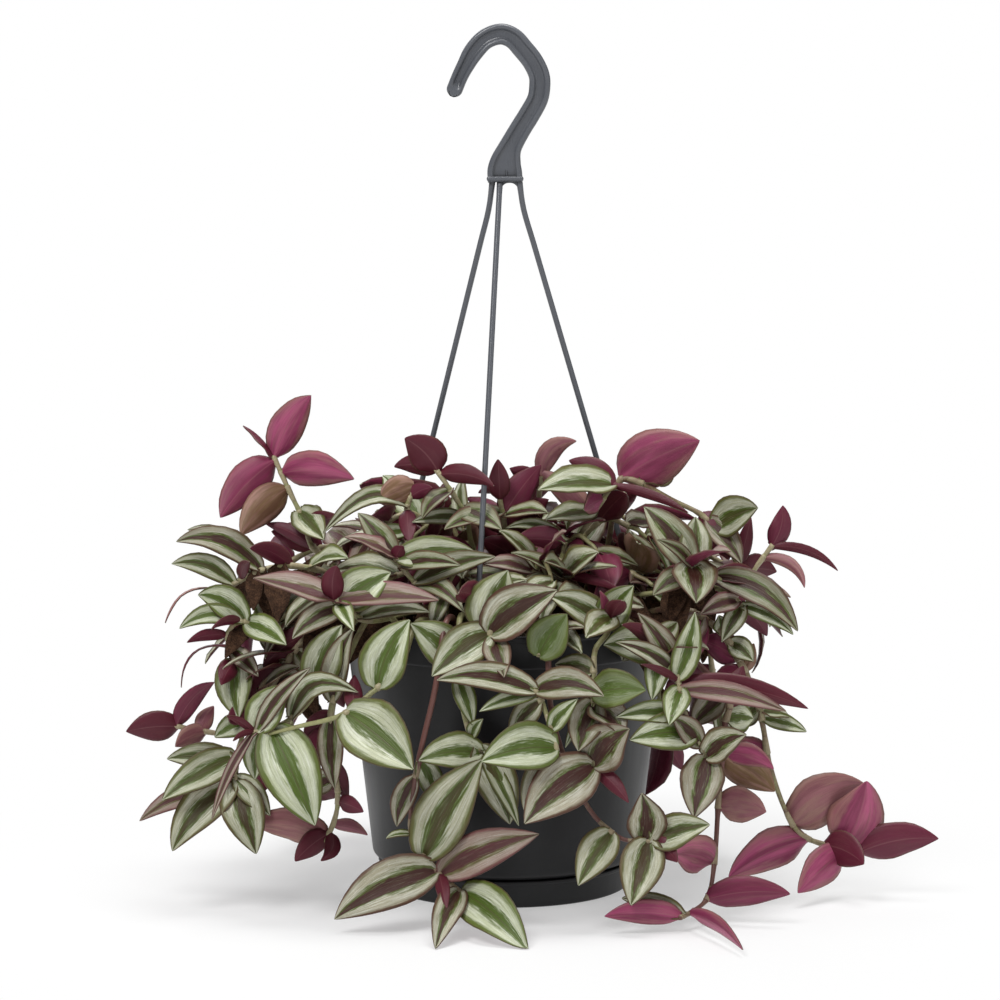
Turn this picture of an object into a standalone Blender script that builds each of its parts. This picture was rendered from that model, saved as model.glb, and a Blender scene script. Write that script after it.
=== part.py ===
"""Tradescantia zebrina in a 17 cm hanging pot, standing on its saucer.

Metres, +Z up. The origin is the middle of the saucer's underside, the front of the plant faces -Y.
"""

import math

import bmesh
import bpy
from mathutils import Matrix, Vector
from mathutils.bvhtree import BVHTree

CM = 0.01
GAP = 0.0003  # clearance between pieces that touch

# saucer
SAUCER_HEIGHT = 0.0140
SAUCER_FOOT_RADIUS = 0.0640
SAUCER_RIM_RADIUS = 0.0660
SAUCER_WALL = 0.0018
SAUCER_FLOOR = 0.0024

# pot
POT_FOOT_RADIUS = 0.0605
POT_CORNER_RADIUS = 0.0690  # where the wall meets the bevelled bottom corner
POT_CORNER_Z = 0.0170
POT_CORNER_BEVELS = ((0.0015, 0.0018), (0.0045, 0.0027))  # inwards and down from there
POT_TOP_RADIUS = 0.0835
POT_WALL = 0.0018
POT_HEIGHT = 0.1420
RIM_BAND_Z = 0.1255
RIM_BAND_RADIUS = 0.0855
RIM_EDGE = 0.0008  # bevel on the rim band's edges
INNER_CORNER_Z = 0.0206
ROUND_SIDES = 48

# soil
SOIL_TOP_Z = 0.1240
SOIL_DOME = 0.0030
SOIL_SHOULDER = 0.0015  # how far the soil's edge lies below its top
SOIL_CLEARANCE = 0.0007  # between the soil and the pot's inner faces
SOIL_SIDES = 40
PLANTING_DEPTH = 0.0070
HOLE_RADII = (0.0022, 0.0030)  # of a planting hole, at its foot and at the soil's top

# hanger
HOOK_BASE_Z = 0.3636
HOOK_THICKNESS = 0.0056
HOOK_WEB = 0.0026
HOOK_FLANGE = 0.0022
LEG_RADIUS = 0.00145
LEG_FOOT_RADIUS = 0.0745  # distance of a leg's foot from the pot's axis
LEG_FOOT_Z = 0.1290
LEG_BEND = 0.0010  # a leg bends to the upright this far above its clip, and leans out as much inside it
CLIP_WIDTH = 0.0046
CLIP_HEIGHT = 0.0090
LEGS = {  # azimuth of the foot in degrees from the front, and where the leg leaves the hook
    "front": (-11.5, -0.0028),
    "left": (-126.0, -0.0064),
    "right": (108.0, 0.0068),
}

# cuttings
STEM_RADIUS = 0.0016
LEAF_THICKNESS = 0.0011
LEAF_ARCH = 0.06  # height of the midrib's bow, as a fraction of the length
LEAF_FOLD = 0.30  # how far the edges rise from the midrib, as a fraction of the half width
LEAF_OUTLINE = (0.60, 0.85, 0.374)  # powers of the outline at the base and tip, and its greatest value
LEAF_CLEARANCE = 0.0012
# degrees about the pot, tried in turn to keep a stem clear of the others
STEM_TURNS = (0, 2, -2, 4, -4, 6, -6, 9, -9, 12, -12)
# degrees a leaf is swung sideways and lifted, tried in turn to keep it clear of the other cuttings
LEAF_MOVES = (
    (0, 0), (12, 0), (-12, 0), (0, 14), (0, -14), (24, 0), (-24, 0), (0, 28), (0, -28), (24, 16), (-24, 16),
    (40, 0), (-40, 0), (40, 24), (-40, 24), (0, 50), (60, 10), (-60, 10), (60, 40), (-60, 40),
)

# Each cutting: the middle line of its stem from the soil outwards, and its leaves. Points are (x, y, z) in
# centimetres. A leaf is (its base on the stem, its tip, its width, the way its upper face looks).
CUTTINGS = {
    "left_top": (
        [(-4.4, -0.4, 11.9), (-5.0, -0.4, 13.6), (-7.8, -0.8, 15.9), (-9.9, -0.6, 17.6),
         (-10.4, 0.0, 18.9), (-11.2, 0.3, 20.5), (-12.0, 0.8, 22.2)],
        [((-12.0, 0.8, 22.1), (-9.9, -1.0, 25.7), 1.8, "under"),
         ((-12.1, 0.8, 22.4), (-13.6, 1.6, 23.7), 1.0, "edge"),
         ((-12.0, 0.8, 21.9), (-14.7, -1.2, 19.2), 2.0, "under"),
         ((-11.5, 0.4, 21.4), (-7.6, -2.0, 21.4), 1.9, "under"),
         ((-11.2, 0.3, 20.6), (-13.6, -1.2, 18.3), 1.8, "under"),
         ((-9.9, -0.6, 17.6), (-12.3, 0.4, 18.7), 0.8, "under"),
         ((-10.4, -0.2, 18.5), (-8.2, -2.4, 19.4), 1.0, "under")],
    ),
    "left_upper": (
        [(-4.8, -2.4, 11.9), (-5.4, -2.6, 14.2), (-8.2, -3.4, 16.3), (-10.4, -4.0, 17.1),
         (-12.3, -4.6, 17.0), (-14.3, -5.0, 16.0)],
        [((-12.3, -4.6, 16.9), (-16.3, -6.0, 18.7), 2.3, "up"),
         ((-12.9, -4.4, 17.2), (-16.2, -3.0, 19.1), 1.5, "up"),
         ((-13.8, -4.8, 16.4), (-16.6, -5.4, 17.5), 1.7, "up"),
         ((-13.4, -4.8, 16.6), (-12.7, -7.0, 17.9), 0.6, "under"),
         ((-14.3, -5.0, 16.0), (-16.9, -6.2, 14.5), 1.0, "edge"),
         ((-10.9, -4.0, 17.1), (-12.8, -6.6, 18.4), 1.0, "under"),
         ((-9.9, -3.8, 17.0), (-8.0, -6.4, 18.0), 1.6, "up")],
    ),
    "left_middle": (
        [(-5.4, -1.4, 11.9), (-6.2, -1.7, 14.2), (-8.4, -2.7, 15.3), (-10.5, -3.6, 14.8), (-12.3, -4.8, 14.2),
         (-13.4, -5.4, 14.5), (-14.0, -5.6, 13.8), (-13.6, -5.6, 12.5)],
        [((-13.1, -5.2, 14.5), (-15.4, -6.4, 15.7), 2.5, "up"),
         ((-13.4, -5.4, 14.4), (-16.3, -6.6, 14.4), 1.0, "front"),
         ((-12.9, -5.2, 14.6), (-10.9, -8.0, 13.8), 1.5, "front"),
         ((-14.0, -5.6, 13.8), (-16.0, -7.0, 13.7), 0.6, "under"),
         ((-13.9, -5.6, 13.3), (-16.2, -6.4, 11.4), 0.9, "edge"),
         ((-13.6, -5.6, 12.6), (-14.6, -6.6, 10.7), 1.3, "front"),
         ((-12.3, -4.8, 14.2), (-12.5, -7.4, 16.1), 1.9, "up")],
    ),
    "left_sprig": (
        [(-5.9, -2.8, 11.9), (-6.3, -3.0, 14.2), (-8.2, -4.2, 15.2), (-10.4, -5.2, 13.3),
         (-12.3, -4.8, 10.4), (-13.7, -4.4, 8.7), (-15.3, -4.4, 8.7), (-16.7, -4.5, 9.0)],
        [((-16.7, -4.5, 9.0), (-14.7, -5.0, 11.4), 1.0, "under"),
         ((-16.6, -4.5, 8.9), (-19.2, -5.0, 8.8), 1.5, "front"),
         ((-14.9, -4.4, 8.7), (-16.7, -5.4, 8.0), 1.6, "up"),
         ((-15.2, -4.4, 8.8), (-14.9, -3.6, 9.7), 1.0, "up"),
         ((-10.9, -5.4, 12.8), (-14.3, -7.4, 12.5), 1.3, "up"),
         ((-11.4, -5.2, 12.2), (-13.1, -6.6, 11.8), 1.2, "up")],
    ),
    "left_front": (
        [(-4.2, -4.4, 11.9), (-4.8, -4.9, 14.2), (-6.6, -6.2, 15.2), (-8.4, -7.2, 13.8), (-9.7, -8.2, 11.0),
         (-11.4, -8.8, 9.7), (-12.5, -9.0, 9.5)],
        [((-11.4, -8.8, 9.6), (-9.3, -10.8, 5.1), 3.0, "front"),
         ((-12.3, -9.0, 9.6), (-9.6, -10.0, 12.9), 1.1, "front"),
         ((-12.4, -9.0, 9.5), (-10.8, -9.2, 11.9), 1.9, "front"),
         ((-12.5, -9.0, 9.5), (-14.5, -10.6, 5.4), 0.5, "front"),
         ((-12.5, -9.0, 9.5), (-13.3, -10.4, 10.8), 0.5, "under"),
         ((-12.3, -9.0, 9.5), (-17.0, -8.6, 6.0), 1.9, "front"),
         ((-12.4, -9.0, 9.4), (-16.6, -9.6, 3.7), 2.3, "front"),
         ((-10.2, -8.4, 10.4), (-7.9, -9.2, 12.7), 1.4, "front")],
    ),
    "left_low": (
        [(-6.6, -1.6, 11.9), (-7.2, -1.8, 14.7), (-9.6, -3.4, 14.4), (-12.3, -5.4, 11.0),
         (-13.4, -6.2, 8.3), (-13.6, -6.6, 6.4)],
        [((-13.2, -6.0, 8.6), (-18.6, -5.0, 4.2), 2.0, "front"),
         ((-13.5, -6.4, 7.1), (-12.4, -8.6, 3.3), 2.3, "front"),
         ((-13.4, -6.2, 8.1), (-15.7, -7.6, 8.4), 2.2, "up"),
         ((-13.6, -6.6, 6.4), (-15.6, -4.4, 3.2), 2.1, "front"),
         ((-13.6, -6.6, 6.4), (-14.1, -6.4, 2.9), 1.6, "front")],
    ),
    "left_under": (
        [(-5.0, -5.4, 11.9), (-5.3, -5.8, 14.2), (-6.8, -7.2, 15.0), (-8.6, -8.0, 10.9),
         (-8.9, -7.8, 7.9), (-9.0, -7.6, 5.8)],
        [((-9.0, -7.6, 5.8), (-12.7, -6.4, 5.0), 2.1, "under"),
         ((-9.0, -7.6, 5.8), (-9.2, -8.8, 2.9), 1.8, "under"),
         ((-8.9, -7.7, 6.8), (-11.1, -8.8, 3.7), 1.5, "under"),
         ((-8.8, -7.8, 8.9), (-7.5, -8.8, 6.0), 1.2, "front"),
         ((-9.0, -7.6, 5.8), (-7.2, -6.8, 3.3), 1.3, "under")],
    ),
    "front_left": (
        [(-3.0, -5.2, 11.9), (-3.4, -6.2, 14.2), (-4.4, -8.4, 14.9), (-5.2, -9.4, 12.9), (-6.5, -9.6, 11.7),
         (-8.0, -10.2, 10.6)],
        [((-7.8, -10.2, 10.7), (-4.4, -12.6, 8.3), 3.3, "front"),
         ((-6.3, -9.5, 11.8), (-4.8, -10.2, 15.3), 2.4, "front"),
         ((-6.8, -9.8, 11.5), (-9.1, -10.0, 12.5), 1.7, "up"),
         ((-8.0, -10.2, 10.6), (-10.6, -10.2, 10.0), 1.0, "front")],
    ),
    "left_canopy": (
        [(-3.4, -2.8, 11.9), (-3.9, -3.6, 14.6), (-6.7, -7.4, 14.8), (-7.7, -8.2, 15.4),
         (-8.5, -8.6, 16.0)],
        [((-8.5, -8.6, 16.0), (-12.5, -8.4, 17.0), 1.9, "up"),
         ((-8.3, -8.6, 16.0), (-3.3, -9.4, 16.2), 1.7, "up"),
         ((-8.6, -8.6, 16.1), (-8.3, -9.4, 18.0), 1.1, "under"),
         ((-8.0, -8.4, 15.7), (-10.6, -9.4, 14.3), 1.3, "front"),
         ((-8.2, -8.5, 15.9), (-7.5, -11.0, 15.0), 1.0, "front"),
         ((-7.6, -8.2, 15.4), (-10.2, -9.4, 12.4), 1.7, "front"),
         ((-7.4, -8.2, 15.3), (-7.9, -9.6, 12.4), 1.6, "front"),
         ((-7.1, -8.0, 15.1), (-3.8, -9.0, 15.7), 1.3, "up"),
         ((-8.0, -8.4, 15.9), (-6.1, -8.6, 17.1), 1.8, "front")],
    ),
    "middle_canopy": (
        [(-2.2, -2.0, 11.9), (-2.6, -3.0, 15.0), (-3.3, -6.0, 15.7), (-4.7, -6.6, 16.8),
         (-5.5, -6.8, 17.9)],
        [((-5.4, -6.8, 17.9), (-1.5, -7.6, 18.6), 1.7, "up"),
         ((-5.3, -6.8, 17.6), (-2.2, -8.8, 18.2), 1.3, "up"),
         ((-5.1, -6.4, 18.4), (-7.4, -6.0, 20.1), 1.3, "up"),
         ((-5.4, -6.8, 18.0), (-4.7, -6.6, 19.3), 0.8, "under"),
         ((-5.5, -6.8, 17.9), (-8.0, -7.4, 19.1), 1.2, "up"),
         ((-4.4, -6.6, 16.6), (-0.5, -8.6, 18.2), 1.6, "front"),
         ((-4.1, -6.4, 16.2), (-2.2, -9.0, 15.9), 1.4, "up"),
         ((-5.5, -6.8, 17.9), (-3.2, -9.6, 18.4), 0.6, "under")],
    ),
    "top_left": (
        [(-1.6, -0.8, 11.9), (-1.2, -1.6, 15.6), (-1.8, -2.8, 18.3), (-2.0, -3.4, 19.5),
         (-2.7, -3.8, 20.8), (-3.5, -4.0, 22.0)],
        [((-3.4, -4.0, 21.9), (-5.1, -4.6, 23.7), 1.9, "under"),
         ((-3.5, -4.0, 22.0), (-5.6, -3.0, 22.1), 1.1, "under"),
         ((-3.3, -4.0, 21.6), (-0.9, -5.4, 22.0), 0.9, "under"),
         ((-2.8, -3.8, 20.9), (-4.3, -5.2, 19.8), 1.3, "up"),
         ((-2.0, -3.4, 19.5), (-4.9, -5.0, 20.3), 1.2, "up"),
         ((-5.2, -3.8, 20.1), (-9.2, -6.6, 18.9), 1.7, "up"),
         ((-2.2, -3.4, 19.9), (-0.3, -6.0, 19.4), 1.6, "up")],
    ),
    "top_middle": (
        [(0.2, 0.4, 11.9), (0.2, -0.8, 15.6), (0.0, -2.6, 18.3), (-0.1, -3.0, 19.3), (-0.3, -3.2, 20.4)],
        [((-0.3, -3.2, 20.4), (-0.4, -3.6, 22.5), 1.1, "under"),
         ((-0.2, -3.0, 19.7), (-3.1, -5.6, 19.2), 1.6, "up"),
         ((-0.1, -3.0, 19.5), (2.1, -5.0, 20.0), 1.5, "up"),
         ((-0.1, -3.0, 19.1), (1.7, -2.0, 21.3), 1.5, "under"),
         ((-0.0, -2.8, 18.8), (-1.8, -1.4, 20.2), 1.3, "under")],
    ),
    "top_right": (
        [(2.8, -1.6, 11.9), (2.6, -1.8, 16.2), (4.3, -2.4, 19.3), (5.4, -3.0, 21.1)],
        [((5.4, -3.0, 21.1), (1.6, -5.6, 21.1), 2.2, "up"),
         ((5.5, -3.0, 21.2), (3.3, -2.4, 22.1), 1.0, "under"),
         ((5.5, -3.0, 21.1), (9.3, -4.4, 19.9), 0.7, "under"),
         ((4.5, -2.6, 19.6), (2.0, -4.6, 19.5), 1.5, "up"),
         ((5.0, -2.8, 20.3), (3.8, -5.0, 20.1), 1.3, "under"),
         ((4.3, -2.4, 19.3), (1.5, -1.6, 21.7), 1.3, "under"),
         ((1.6, -1.8, 21.7), (3.5, -2.2, 23.3), 1.1, "under")],
    ),
    "top_centre": (
        [(1.2, -2.6, 11.9), (1.4, -3.4, 15.0), (2.7, -5.4, 16.1), (3.0, -6.0, 16.9)],
        [((3.0, -6.0, 16.9), (4.5, -6.8, 18.3), 2.0, "up"),
         ((3.2, -6.0, 16.9), (5.5, -7.8, 17.5), 1.1, "up"),
         ((3.0, -6.0, 16.9), (2.0, -8.0, 18.0), 1.6, "up"),
         ((2.9, -5.8, 16.7), (0.3, -7.4, 18.3), 1.2, "up"),
         ((3.0, -6.0, 16.9), (5.7, -7.8, 16.4), 0.5, "under"),
         ((2.7, -5.6, 16.4), (0.8, -4.4, 18.2), 1.5, "under"),
         ((2.8, -5.6, 16.5), (0.4, -7.8, 16.4), 1.4, "up")],
    ),
    "front_middle": (
        [(-1.1, -4.6, 11.9), (-1.3, -6.4, 14.8), (-0.9, -8.7, 14.8), (-0.3, -9.6, 13.2),
         (1.4, -10.4, 11.9), (2.3, -10.8, 9.7), (2.6, -10.8, 8.2)],
        [((-0.9, -8.8, 14.3), (-3.6, -11.2, 12.8), 2.2, "front"),
         ((-0.9, -8.8, 14.4), (0.1, -9.2, 17.6), 2.8, "front"),
         ((-0.8, -8.8, 14.5), (2.4, -9.6, 16.7), 1.9, "front"),
         ((-0.6, -9.0, 14.1), (-0.1, -11.2, 12.6), 1.4, "front"),
         ((1.2, -10.3, 11.9), (-3.3, -12.0, 12.6), 1.8, "up"),
         ((1.5, -10.4, 11.7), (4.6, -12.2, 12.2), 2.1, "up"),
         ((2.2, -10.8, 9.7), (-1.2, -12.6, 8.7), 1.9, "front"),
         ((2.5, -10.8, 8.9), (-0.3, -12.0, 6.7), 1.7, "front"),
         ((2.6, -10.8, 8.2), (-1.3, -11.8, 7.1), 1.8, "front"),
         ((2.1, -10.8, 9.9), (3.4, -12.0, 11.6), 1.0, "front")],
    ),
    "front_green": (
        [(-2.0, -4.2, 11.9), (-2.1, -5.4, 14.4), (-2.3, -8.2, 15.0), (-2.3, -9.2, 12.2), (-1.8, -9.6, 9.2)],
        [((-2.9, -8.5, 12.8), (-4.7, -9.6, 15.0), 2.1, "front"),
         ((-2.2, -9.2, 10.6), (-4.2, -10.4, 7.4), 2.0, "front"),
         ((-2.0, -9.4, 9.9), (-1.4, -10.8, 11.9), 1.3, "front"),
         ((-1.8, -9.6, 9.2), (-0.3, -10.2, 6.8), 1.5, "front")],
    ),
    "front_right": (
        [(2.4, -4.4, 11.9), (2.9, -5.9, 15.0), (5.0, -8.2, 14.6), (4.4, -9.0, 13.6), (4.3, -9.8, 12.2),
         (4.3, -10.4, 9.9), (4.3, -10.6, 8.1)],
        [((4.9, -8.2, 14.6), (2.1, -9.4, 16.4), 1.7, "front"),
         ((5.0, -8.2, 14.6), (6.3, -8.8, 16.8), 1.8, "front"),
         ((4.9, -8.2, 14.6), (4.6, -9.6, 16.7), 0.5, "under"),
         ((4.3, -9.8, 11.7), (6.8, -11.2, 12.0), 1.9, "front"),
         ((4.3, -9.9, 11.3), (2.6, -11.6, 9.3), 1.8, "front"),
         ((4.3, -10.6, 8.1), (0.9, -12.6, 5.6), 2.8, "front"),
         ((4.3, -10.6, 8.2), (5.8, -12.0, 10.2), 2.3, "front"),
         ((4.3, -10.6, 8.1), (6.4, -11.6, 6.1), 0.7, "under"),
         ((4.4, -9.0, 13.4), (2.8, -10.2, 15.7), 1.7, "front"),
         ((4.3, -10.0, 10.8), (5.8, -11.4, 9.8), 2.1, "up")],
    ),
    "front_low": (
        [(-2.2, -6.0, 11.9), (-2.5, -6.9, 14.6), (-3.0, -9.0, 14.9), (-3.5, -10.0, 11.8),
         (-4.3, -10.4, 8.3), (-4.7, -10.2, 4.8), (-3.7, -10.4, 3.1), (-2.2, -10.9, 1.8)],
        [((-3.9, -10.4, 3.6), (-1.2, -11.6, 8.6), 2.8, "front"),
         ((-3.4, -10.5, 2.8), (-8.4, -12.4, 0.8), 2.5, "front"),
         ((-3.0, -10.6, 2.9), (1.5, -12.4, 5.0), 2.5, "front"),
         ((-2.2, -10.9, 1.8), (0.9, -15.8, 0.3), 2.4, "front"),
         ((-2.4, -10.9, 1.8), (-3.4, -15.6, 0.3), 1.5, "front"),
         ((-3.3, -10.6, 2.7), (-2.9, -13.0, 1.4), 0.7, "under"),
         ((-3.5, -10.5, 2.9), (-4.9, -13.0, 0.3), 1.4, "up"),
         ((-4.6, -10.2, 4.6), (-5.9, -11.0, 4.6), 0.6, "up")],
    ),
    "right_front_low": (
        [(0.8, -6.1, 11.9), (1.4, -7.2, 14.9), (2.0, -9.2, 14.4), (2.3, -10.0, 10.3), (3.8, -10.4, 6.4),
         (5.5, -10.8, 4.6), (7.2, -11.0, 4.4)],
        [((6.8, -10.9, 4.4), (6.6, -12.4, 6.9), 2.0, "front"),
         ((7.0, -11.0, 4.4), (6.1, -12.8, 1.6), 2.2, "front"),
         ((7.2, -11.0, 4.4), (9.9, -12.0, 5.5), 1.8, "front"),
         ((5.2, -10.7, 4.8), (3.5, -12.6, 2.6), 1.9, "front"),
         ((3.4, -10.2, 7.1), (1.7, -12.0, 6.7), 1.3, "front"),
         ((7.2, -11.0, 4.4), (8.5, -12.0, 3.6), 1.0, "under")],
    ),
    "right_front": (
        [(4.4, -4.2, 11.9), (5.2, -5.2, 14.8), (8.0, -8.0, 13.4), (8.5, -8.8, 12.1), (8.8, -9.2, 10.5),
         (9.9, -9.4, 8.3)],
        [((8.4, -8.7, 12.3), (5.4, -10.2, 14.2), 1.2, "front"),
         ((8.4, -8.7, 12.5), (6.5, -9.4, 15.5), 1.3, "front"),
         ((8.7, -8.8, 12.2), (9.3, -9.6, 15.6), 1.4, "front"),
         ((8.6, -8.9, 11.9), (14.9, -9.8, 10.8), 1.2, "under"),
         ((8.7, -8.9, 11.6), (13.7, -11.0, 10.9), 1.1, "front"),
         ((8.6, -8.9, 11.6), (8.0, -11.0, 10.3), 1.4, "front"),
         ((9.0, -9.3, 10.2), (6.2, -11.0, 9.7), 2.0, "front"),
         ((9.6, -9.4, 8.9), (8.1, -10.6, 10.6), 1.3, "front"),
         ((9.9, -9.4, 8.3), (9.2, -11.4, 5.7), 2.2, "front"),
         ((9.9, -9.4, 8.3), (11.7, -10.8, 9.7), 1.7, "front")],
    ),
    "right_middle": (
        [(3.7, -5.4, 11.9), (4.0, -5.9, 14.2), (5.6, -7.6, 14.9), (7.0, -8.2, 14.0), (7.8, -8.2, 13.2)],
        [((7.4, -8.2, 13.5), (4.8, -9.4, 13.9), 2.1, "front"),
         ((7.8, -8.2, 13.6), (7.2, -9.6, 11.2), 1.3, "front"),
         ((7.8, -8.2, 13.2), (10.0, -9.4, 13.9), 1.5, "up"),
         ((7.6, -8.3, 13.5), (5.6, -10.0, 15.2), 0.8, "under")],
    ),
    "right_canopy": (
        [(4.2, -2.6, 11.9), (4.6, -3.4, 15.0), (8.1, -5.4, 16.1), (9.3, -6.2, 17.4)],
        [((9.2, -6.2, 17.4), (6.9, -5.6, 20.4), 1.9, "front"),
         ((9.2, -6.2, 17.5), (7.6, -7.4, 18.9), 0.7, "front"),
         ((9.4, -6.2, 17.4), (9.4, -5.4, 19.7), 1.9, "front"),
         ((9.3, -6.2, 17.3), (9.4, -8.6, 15.9), 2.3, "front"),
         ((9.0, -6.0, 17.0), (7.3, -7.6, 16.2), 1.3, "up"),
         ((9.4, -6.2, 17.4), (11.1, -7.4, 18.5), 1.9, "up")],
    ),
    "right_upper": (
        [(5.4, -1.4, 11.9), (6.0, -1.9, 15.2), (9.8, -4.0, 15.9), (10.6, -4.6, 16.6), (11.9, -5.0, 15.2)],
        [((10.5, -4.6, 16.6), (14.1, -6.6, 14.6), 1.9, "up"),
         ((11.7, -4.9, 15.5), (9.7, -7.0, 15.0), 1.6, "up"),
         ((11.9, -5.0, 15.2), (14.6, -6.4, 14.0), 1.7, "up"),
         ((11.9, -5.0, 15.2), (10.8, -6.4, 13.6), 1.1, "front"),
         ((11.9, -5.0, 15.2), (13.5, -3.6, 13.7), 1.2, "under"),
         ((10.9, -4.7, 16.4), (14.4, -4.0, 15.5), 1.3, "up"),
         ((10.6, -4.6, 16.6), (13.0, -2.6, 15.7), 1.5, "under")],
    ),
    "right_top": (
        [(4.9, 0.4, 11.9), (5.0, 0.0, 15.6), (5.4, -0.4, 18.5), (5.9, -1.0, 21.2), (8.6, -1.2, 20.1),
         (10.5, -1.6, 19.0), (12.1, -2.0, 16.5)],
        [((5.9, -1.0, 21.2), (9.9, -1.8, 23.3), 3.0, "under"),
         ((10.7, -1.6, 18.6), (12.8, -3.6, 20.0), 1.8, "front"),
         ((10.6, -1.6, 19.4), (12.0, -3.2, 17.3), 1.5, "front"),
         ((9.9, -1.5, 19.4), (11.4, -2.4, 17.2), 1.6, "under"),
         ((12.1, -2.0, 16.6), (13.8, -0.6, 16.4), 1.5, "under"),
         ((6.9, -1.1, 20.9), (8.4, 1.4, 21.4), 2.0, "up"),
         ((9.4, -1.4, 19.8), (10.8, 1.2, 20.1), 1.8, "up")],
    ),
    "right_sprig": (
        [(6.4, 0.2, 11.9), (7.0, 0.0, 14.8), (9.6, -1.0, 15.8), (11.8, -2.6, 15.6), (12.8, -2.4, 16.9),
         (13.6, -2.4, 18.0)],
        [((13.6, -2.4, 17.9), (14.1, -2.4, 20.0), 1.3, "under"),
         ((13.5, -2.4, 17.8), (17.0, -2.8, 16.7), 1.1, "under"),
         ((13.3, -2.4, 17.4), (15.2, -3.6, 15.9), 1.2, "under"),
         ((11.8, -2.6, 15.6), (9.8, -3.6, 17.4), 1.9, "up")],
    ),
    "right_long": (
        [(6.4, -3.2, 11.9), (6.8, -3.6, 14.4), (8.9, -4.8, 15.0), (10.7, -5.4, 14.1), (11.7, -5.6, 12.6),
         (12.8, -5.6, 10.7), (13.3, -5.4, 9.0), (13.7, -5.2, 7.3), (14.6, -4.8, 4.9), (15.5, -4.4, 3.1),
         (17.0, -4.2, 2.5), (18.2, -4.2, 2.3)],
        [((15.6, -4.4, 3.2), (18.6, -3.0, 5.2), 2.4, "under"),
         ((17.1, -4.2, 2.5), (18.9, -4.8, 5.6), 2.2, "under"),
         ((18.0, -4.2, 2.3), (22.0, -4.6, 3.2), 1.9, "under"),
         ((17.3, -4.2, 2.5), (14.7, -6.4, 0.8), 1.9, "under"),
         ((16.3, -4.3, 2.8), (11.3, -5.8, 1.4), 2.2, "under"),
         ((13.0, -5.5, 9.9), (14.4, -5.0, 9.6), 1.5, "up"),
         ((13.6, -5.3, 7.9), (10.6, -4.4, 6.7), 1.9, "under"),
         ((11.7, -5.6, 12.6), (9.8, -5.0, 13.5), 1.6, "under"),
         ((13.8, -5.2, 7.1), (15.5, -4.6, 8.7), 1.0, "up"),
         ((12.1, -5.6, 12.0), (12.4, -4.2, 13.4), 1.3, "under")],
    ),
    "right_trailing": (
        [(5.0, -5.6, 11.9), (5.2, -5.9, 14.2), (6.6, -7.2, 15.0), (10.8, -7.6, 11.4), (10.9, -7.6, 9.4),
         (10.6, -7.8, 5.5), (10.4, -8.6, 3.0), (10.0, -10.0, 1.4), (9.1, -11.2, 0.9), (8.5, -12.0, 0.8)],
        [((9.9, -10.1, 1.3), (14.0, -10.8, 1.7), 1.6, "under"),
         ((8.6, -11.9, 0.9), (4.8, -12.4, 1.1), 1.5, "under"),
         ((9.0, -11.3, 0.8), (11.3, -16.0, 0.4), 1.8, "down"),
         ((10.4, -8.5, 3.2), (8.6, -9.8, 2.0), 1.9, "under"),
         ((10.7, -7.8, 5.8), (13.0, -8.4, 5.7), 1.8, "under"),
         ((10.8, -7.6, 8.6), (13.6, -7.6, 6.8), 2.1, "under"),
         ((10.9, -7.6, 9.9), (12.4, -7.0, 10.0), 1.8, "under")],
    ),
}

# Plainer cuttings that arch out over the rim. Each is (azimuth in degrees from the front, root radius,
# height of the arch, reach, height of the end), in centimetres.
ARCHES = {
    "crown_back": (170, 1.6, 19.5, 6.5, 18.8),
    "crown_left": (-72, 2.6, 19.4, 7.0, 18.6),
    "crown_right": (78, 2.4, 19.0, 7.4, 18.2),
    "crown_back_left": (-128, 3.4, 19.0, 9.0, 17.4),
    "crown_back_right": (128, 3.2, 18.8, 9.4, 17.0),
    "arch_left": (-98, 4.4, 17.4, 13.4, 13.4),
    "arch_right": (98, 4.4, 17.4, 13.0, 14.0),
    "arch_back_left": (-140, 5.0, 16.8, 12.6, 12.0),
    "arch_back": (-170, 4.6, 17.2, 12.2, 13.0),
    "arch_back_right": (152, 5.2, 16.8, 12.4, 11.4),
    "hang_left": (-114, 6.4, 15.6, 12.6, 6.4),
    "hang_back_left": (-155, 6.6, 15.6, 12.2, 5.2),
    "hang_back": (178, 6.6, 15.4, 12.0, 4.6),
    "hang_back_right": (136, 6.6, 15.6, 12.2, 6.0),
    "hang_right": (114, 6.6, 15.4, 12.4, 7.2),
}
ARCH_SHAPE = ((0.12, 0.62), (0.5, 1.0))  # share of the reach and of the rise at two points of the way up
ARCH_SHOULDER = (0.85, 0.35)  # share of the reach and of the drop at a point of the way down
ARCH_FIRST_LEAF = 0.42  # share of the stem that is bare
ARCH_LEAF_SPACING = 0.026
ARCH_LEAF_LENGTH = 0.042
ARCH_LEAF_WIDTH = 0.022
ARCH_LEAF_DIRECTION = (0.50, 0.85, 0.28)  # along the stem, sideways and up
ARCH_BARE_END = 0.006

COLOURS = {
    "pot_plastic": ((0.028, 0.030, 0.033, 1.0), 0.5),
    "hanger_plastic": ((0.085, 0.092, 0.102, 1.0), 0.45),
    "soil": ((0.035, 0.020, 0.012, 1.0), 0.95),
    "foliage": ((0.16, 0.22, 0.13, 1.0), 0.4),
}


def material(name):
    made = bpy.data.materials.get(name)
    if made is None:
        colour, roughness = COLOURS[name]
        made = bpy.data.materials.new(name)
        made.use_nodes = True
        shader = made.node_tree.nodes["Principled BSDF"]
        shader.inputs["Base Color"].default_value = colour
        shader.inputs["Roughness"].default_value = roughness
    return made


def add_object(name, data, finish, collection):
    made = bpy.data.objects.new(name, data)
    data.materials.append(material(finish))
    collection.objects.link(made)
    return made


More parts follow.
